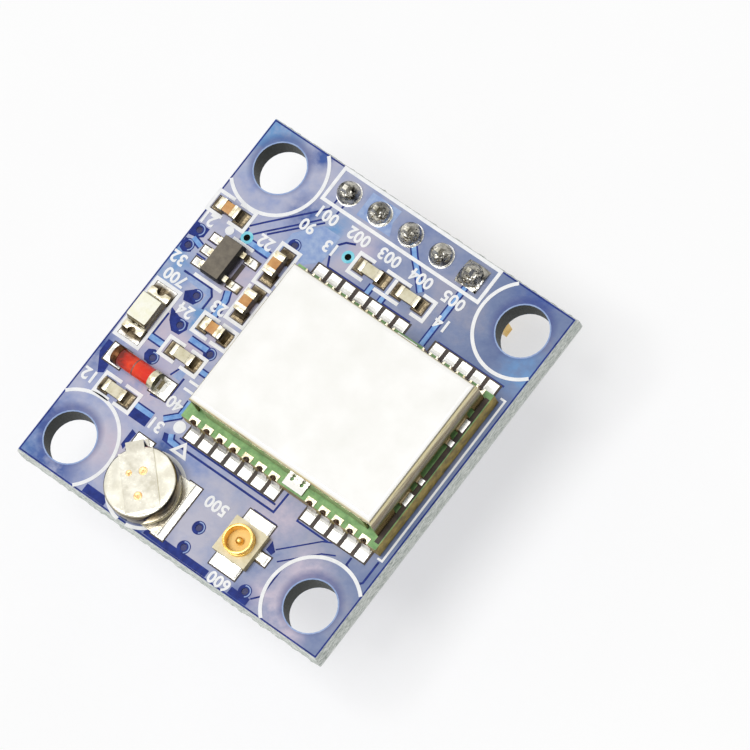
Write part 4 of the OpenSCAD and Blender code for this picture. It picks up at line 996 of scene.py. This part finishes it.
def soften(node, width):
    """Small round edges on a CAD node."""
    weld = node.modifiers.new("weld", "WELD")
    weld.merge_threshold = WELD_REACH
    edge = node.modifiers.new("edge", "BEVEL")
    edge.width = width * MM
    edge.segments = 2
    edge.limit_method = "ANGLE"
    edge.angle_limit = math.radians(BEVEL_ANGLE)
    node.modifiers.new("shade", "WEIGHTED_NORMAL")


def look(name, slot):
    """Material name of a CAD node: its own look, or its slot's."""
    if name.startswith("header_pin"):
        return "pin_gold"
    if name.startswith(("capacitor", "resistor")) and name.endswith("terminals"):
        return "terminal_tin"
    return LOOKS.get(name, slot)


def dress_nodes(mats):
    """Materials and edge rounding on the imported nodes."""
    for row in frame["record"]["subparts"]:
        name = row["node"]
        node = frame["nodes"][name]
        node.data.materials.clear()
        node.data.materials.append(mats[look(name, row["material_slot"])])
        if name in BEVELS:
            soften(node, BEVELS[name])
        elif name.startswith(("capacitor", "resistor")) and not name.endswith("coat"):
            soften(node, CHIP_BEVEL)


# Floor, light and camera

FLOOR_WHITE = 0.6
SKY_FILL = 0.32
SUN_ENERGY = 2.05
SUN_FROM = (-0.1, -0.2, 0.97)
SUN_SIZE = 32
FLOOR_HALF = 3.0
FLAG_X, FLAG_Y, FLAG_Z = 0.25, 0.3, 0.16
FOCAL = 7000
VIEW_AZ, VIEW_EL, VIEW_ROLL = 70.0, 65.7, -33.9
VIEW_RIGHT, VIEW_DOWN, VIEW_FAR = -4.64, 1.15, 440.8
SENSOR = 36


def floor_white():
    """Pale floor that keeps the shadow: part of what the camera or a mirror sees of it is plain white."""
    mat, tree, _ = new_material("floor_white")
    tree.nodes.clear()
    dust = speckle(tree, coords(tree), 0.05, 3.0)
    tint = ramp(tree, dust, (0.3, (0.97, 0.97, 0.97, 1)), (0.7, (1, 1, 1, 1)))
    lit = add(tree, "ShaderNodeBsdfDiffuse", Color=tint)
    white = add(tree, "ShaderNodeEmission", Strength=1.0)
    share = calc(tree, "MULTIPLY", straight_ray(tree), FLOOR_WHITE)
    both = add(tree, "ShaderNodeMixShader", Fac=share)
    tree.links.new(lit.outputs[0], both.inputs[1])
    tree.links.new(white.outputs[0], both.inputs[2])
    out = tree.nodes.new("ShaderNodeOutputMaterial")
    tree.links.new(both.outputs[0], out.inputs["Surface"])
    return mat


def straight_ray(tree):
    """1 for what the camera, a mirror or glass sees, 0 for light that falls on a surface."""
    path = tree.nodes.new("ShaderNodeLightPath")
    total = path.outputs["Is Camera Ray"]
    for key in ("Is Glossy Ray", "Is Transmission Ray"):
        total = calc(tree, "MAXIMUM", total, path.outputs[key])
    return total


def make_floor():
    """Large plain floor at the pins' tips."""
    bm = bmesh.new()
    bmesh.ops.create_grid(bm, x_segments=8, y_segments=8, size=FLOOR_HALF)
    mesh = bpy.data.meshes.new("floor")
    bm.to_mesh(mesh)
    bm.free()
    mesh.materials.append(floor_white())
    floor = bpy.data.objects.new("floor", mesh)
    floor.location.z = FLOOR_Z
    bpy.context.scene.collection.objects.link(floor)


def make_flag():
    """Dark studio flag at the right, seen only in reflections, so that bright metal keeps its contrast."""
    bm = bmesh.new()
    corners = [(FLAG_X, y, z) for y, z in rectangle(-FLAG_Y, FLOOR_Z, FLAG_Y, FLAG_Z)]
    bm.faces.new([bm.verts.new(c) for c in corners])
    mesh = bpy.data.meshes.new("flag")
    bm.to_mesh(mesh)
    bm.free()
    tones = srgb(14, 14, 14), srgb(30, 30, 30)
    mesh.materials.append(mottled("flag_black", tones, 0.02, (0.8, 0.9), 0.1, 0.1))
    flag = bpy.data.objects.new("flag", mesh)
    bpy.context.scene.collection.objects.link(flag)
    flag.visible_camera = flag.visible_diffuse = flag.visible_shadow = False


def make_light():
    """One soft key from nearly overhead, and a white room that fills the shadows a little."""
    lamp = bpy.data.lights.new("key", "SUN")
    lamp.energy = SUN_ENERGY
    lamp.angle = math.radians(SUN_SIZE)
    key = bpy.data.objects.new("key", lamp)
    key.rotation_mode = "QUATERNION"
    key.rotation_quaternion = (-Vector(SUN_FROM)).to_track_quat("-Z", "Y")
    bpy.context.scene.collection.objects.link(key)
    world = bpy.data.worlds.new("room")
    bpy.context.scene.world = world
    world.use_nodes = True
    tree = world.node_tree
    level = spread(tree, straight_ray(tree), 0, 1, SKY_FILL, 1.0)
    room = tree.nodes["Background"]
    room.inputs["Color"].default_value = (1, 1, 1, 1)
    tree.links.new(level, room.inputs["Strength"])


def make_camera():
    """Camera at the photograph's angle."""
    az, el, roll = (math.radians(a) for a in (VIEW_AZ, VIEW_EL, VIEW_ROLL))
    back = Vector((math.sin(az) * math.cos(el), -math.cos(az) * math.cos(el), math.sin(el)))
    level = Vector((math.cos(az), math.sin(az), 0))
    rise = level.cross(-back)
    right = math.cos(roll) * level + math.sin(roll) * rise
    up = -math.sin(roll) * level + math.cos(roll) * rise
    lens = bpy.data.cameras.new("camera")
    lens.sensor_width = SENSOR
    lens.lens = FOCAL / IMAGE_SIDE * SENSOR
    lens.clip_start, lens.clip_end = 0.01, 20
    camera = bpy.data.objects.new("camera", lens)
    turn = Matrix((right, up, back)).transposed().to_4x4()
    spot = (-VIEW_RIGHT * right + VIEW_DOWN * up + VIEW_FAR * back) * MM
    camera.matrix_world = Matrix.Translation(spot) @ turn
    bpy.context.scene.collection.objects.link(camera)
    bpy.context.scene.camera = camera


def main():
    """Dresses the part and sets the stage."""
    bpy.context.scene.view_settings.view_transform = "Standard"
    mats = make_materials()
    dress_nodes(mats)
    copper(mats)
    land_gaps(mats)
    vias(mats)
    hole_rims(mats)
    white_print(mats)
    broken_edges(mats)
    welds(mats)
    glass_seam(mats)
    capacitor_bands(mats)
    painted_end_shadow(mats)
    make_floor()
    make_flag()
    make_light()
    make_camera()


main()
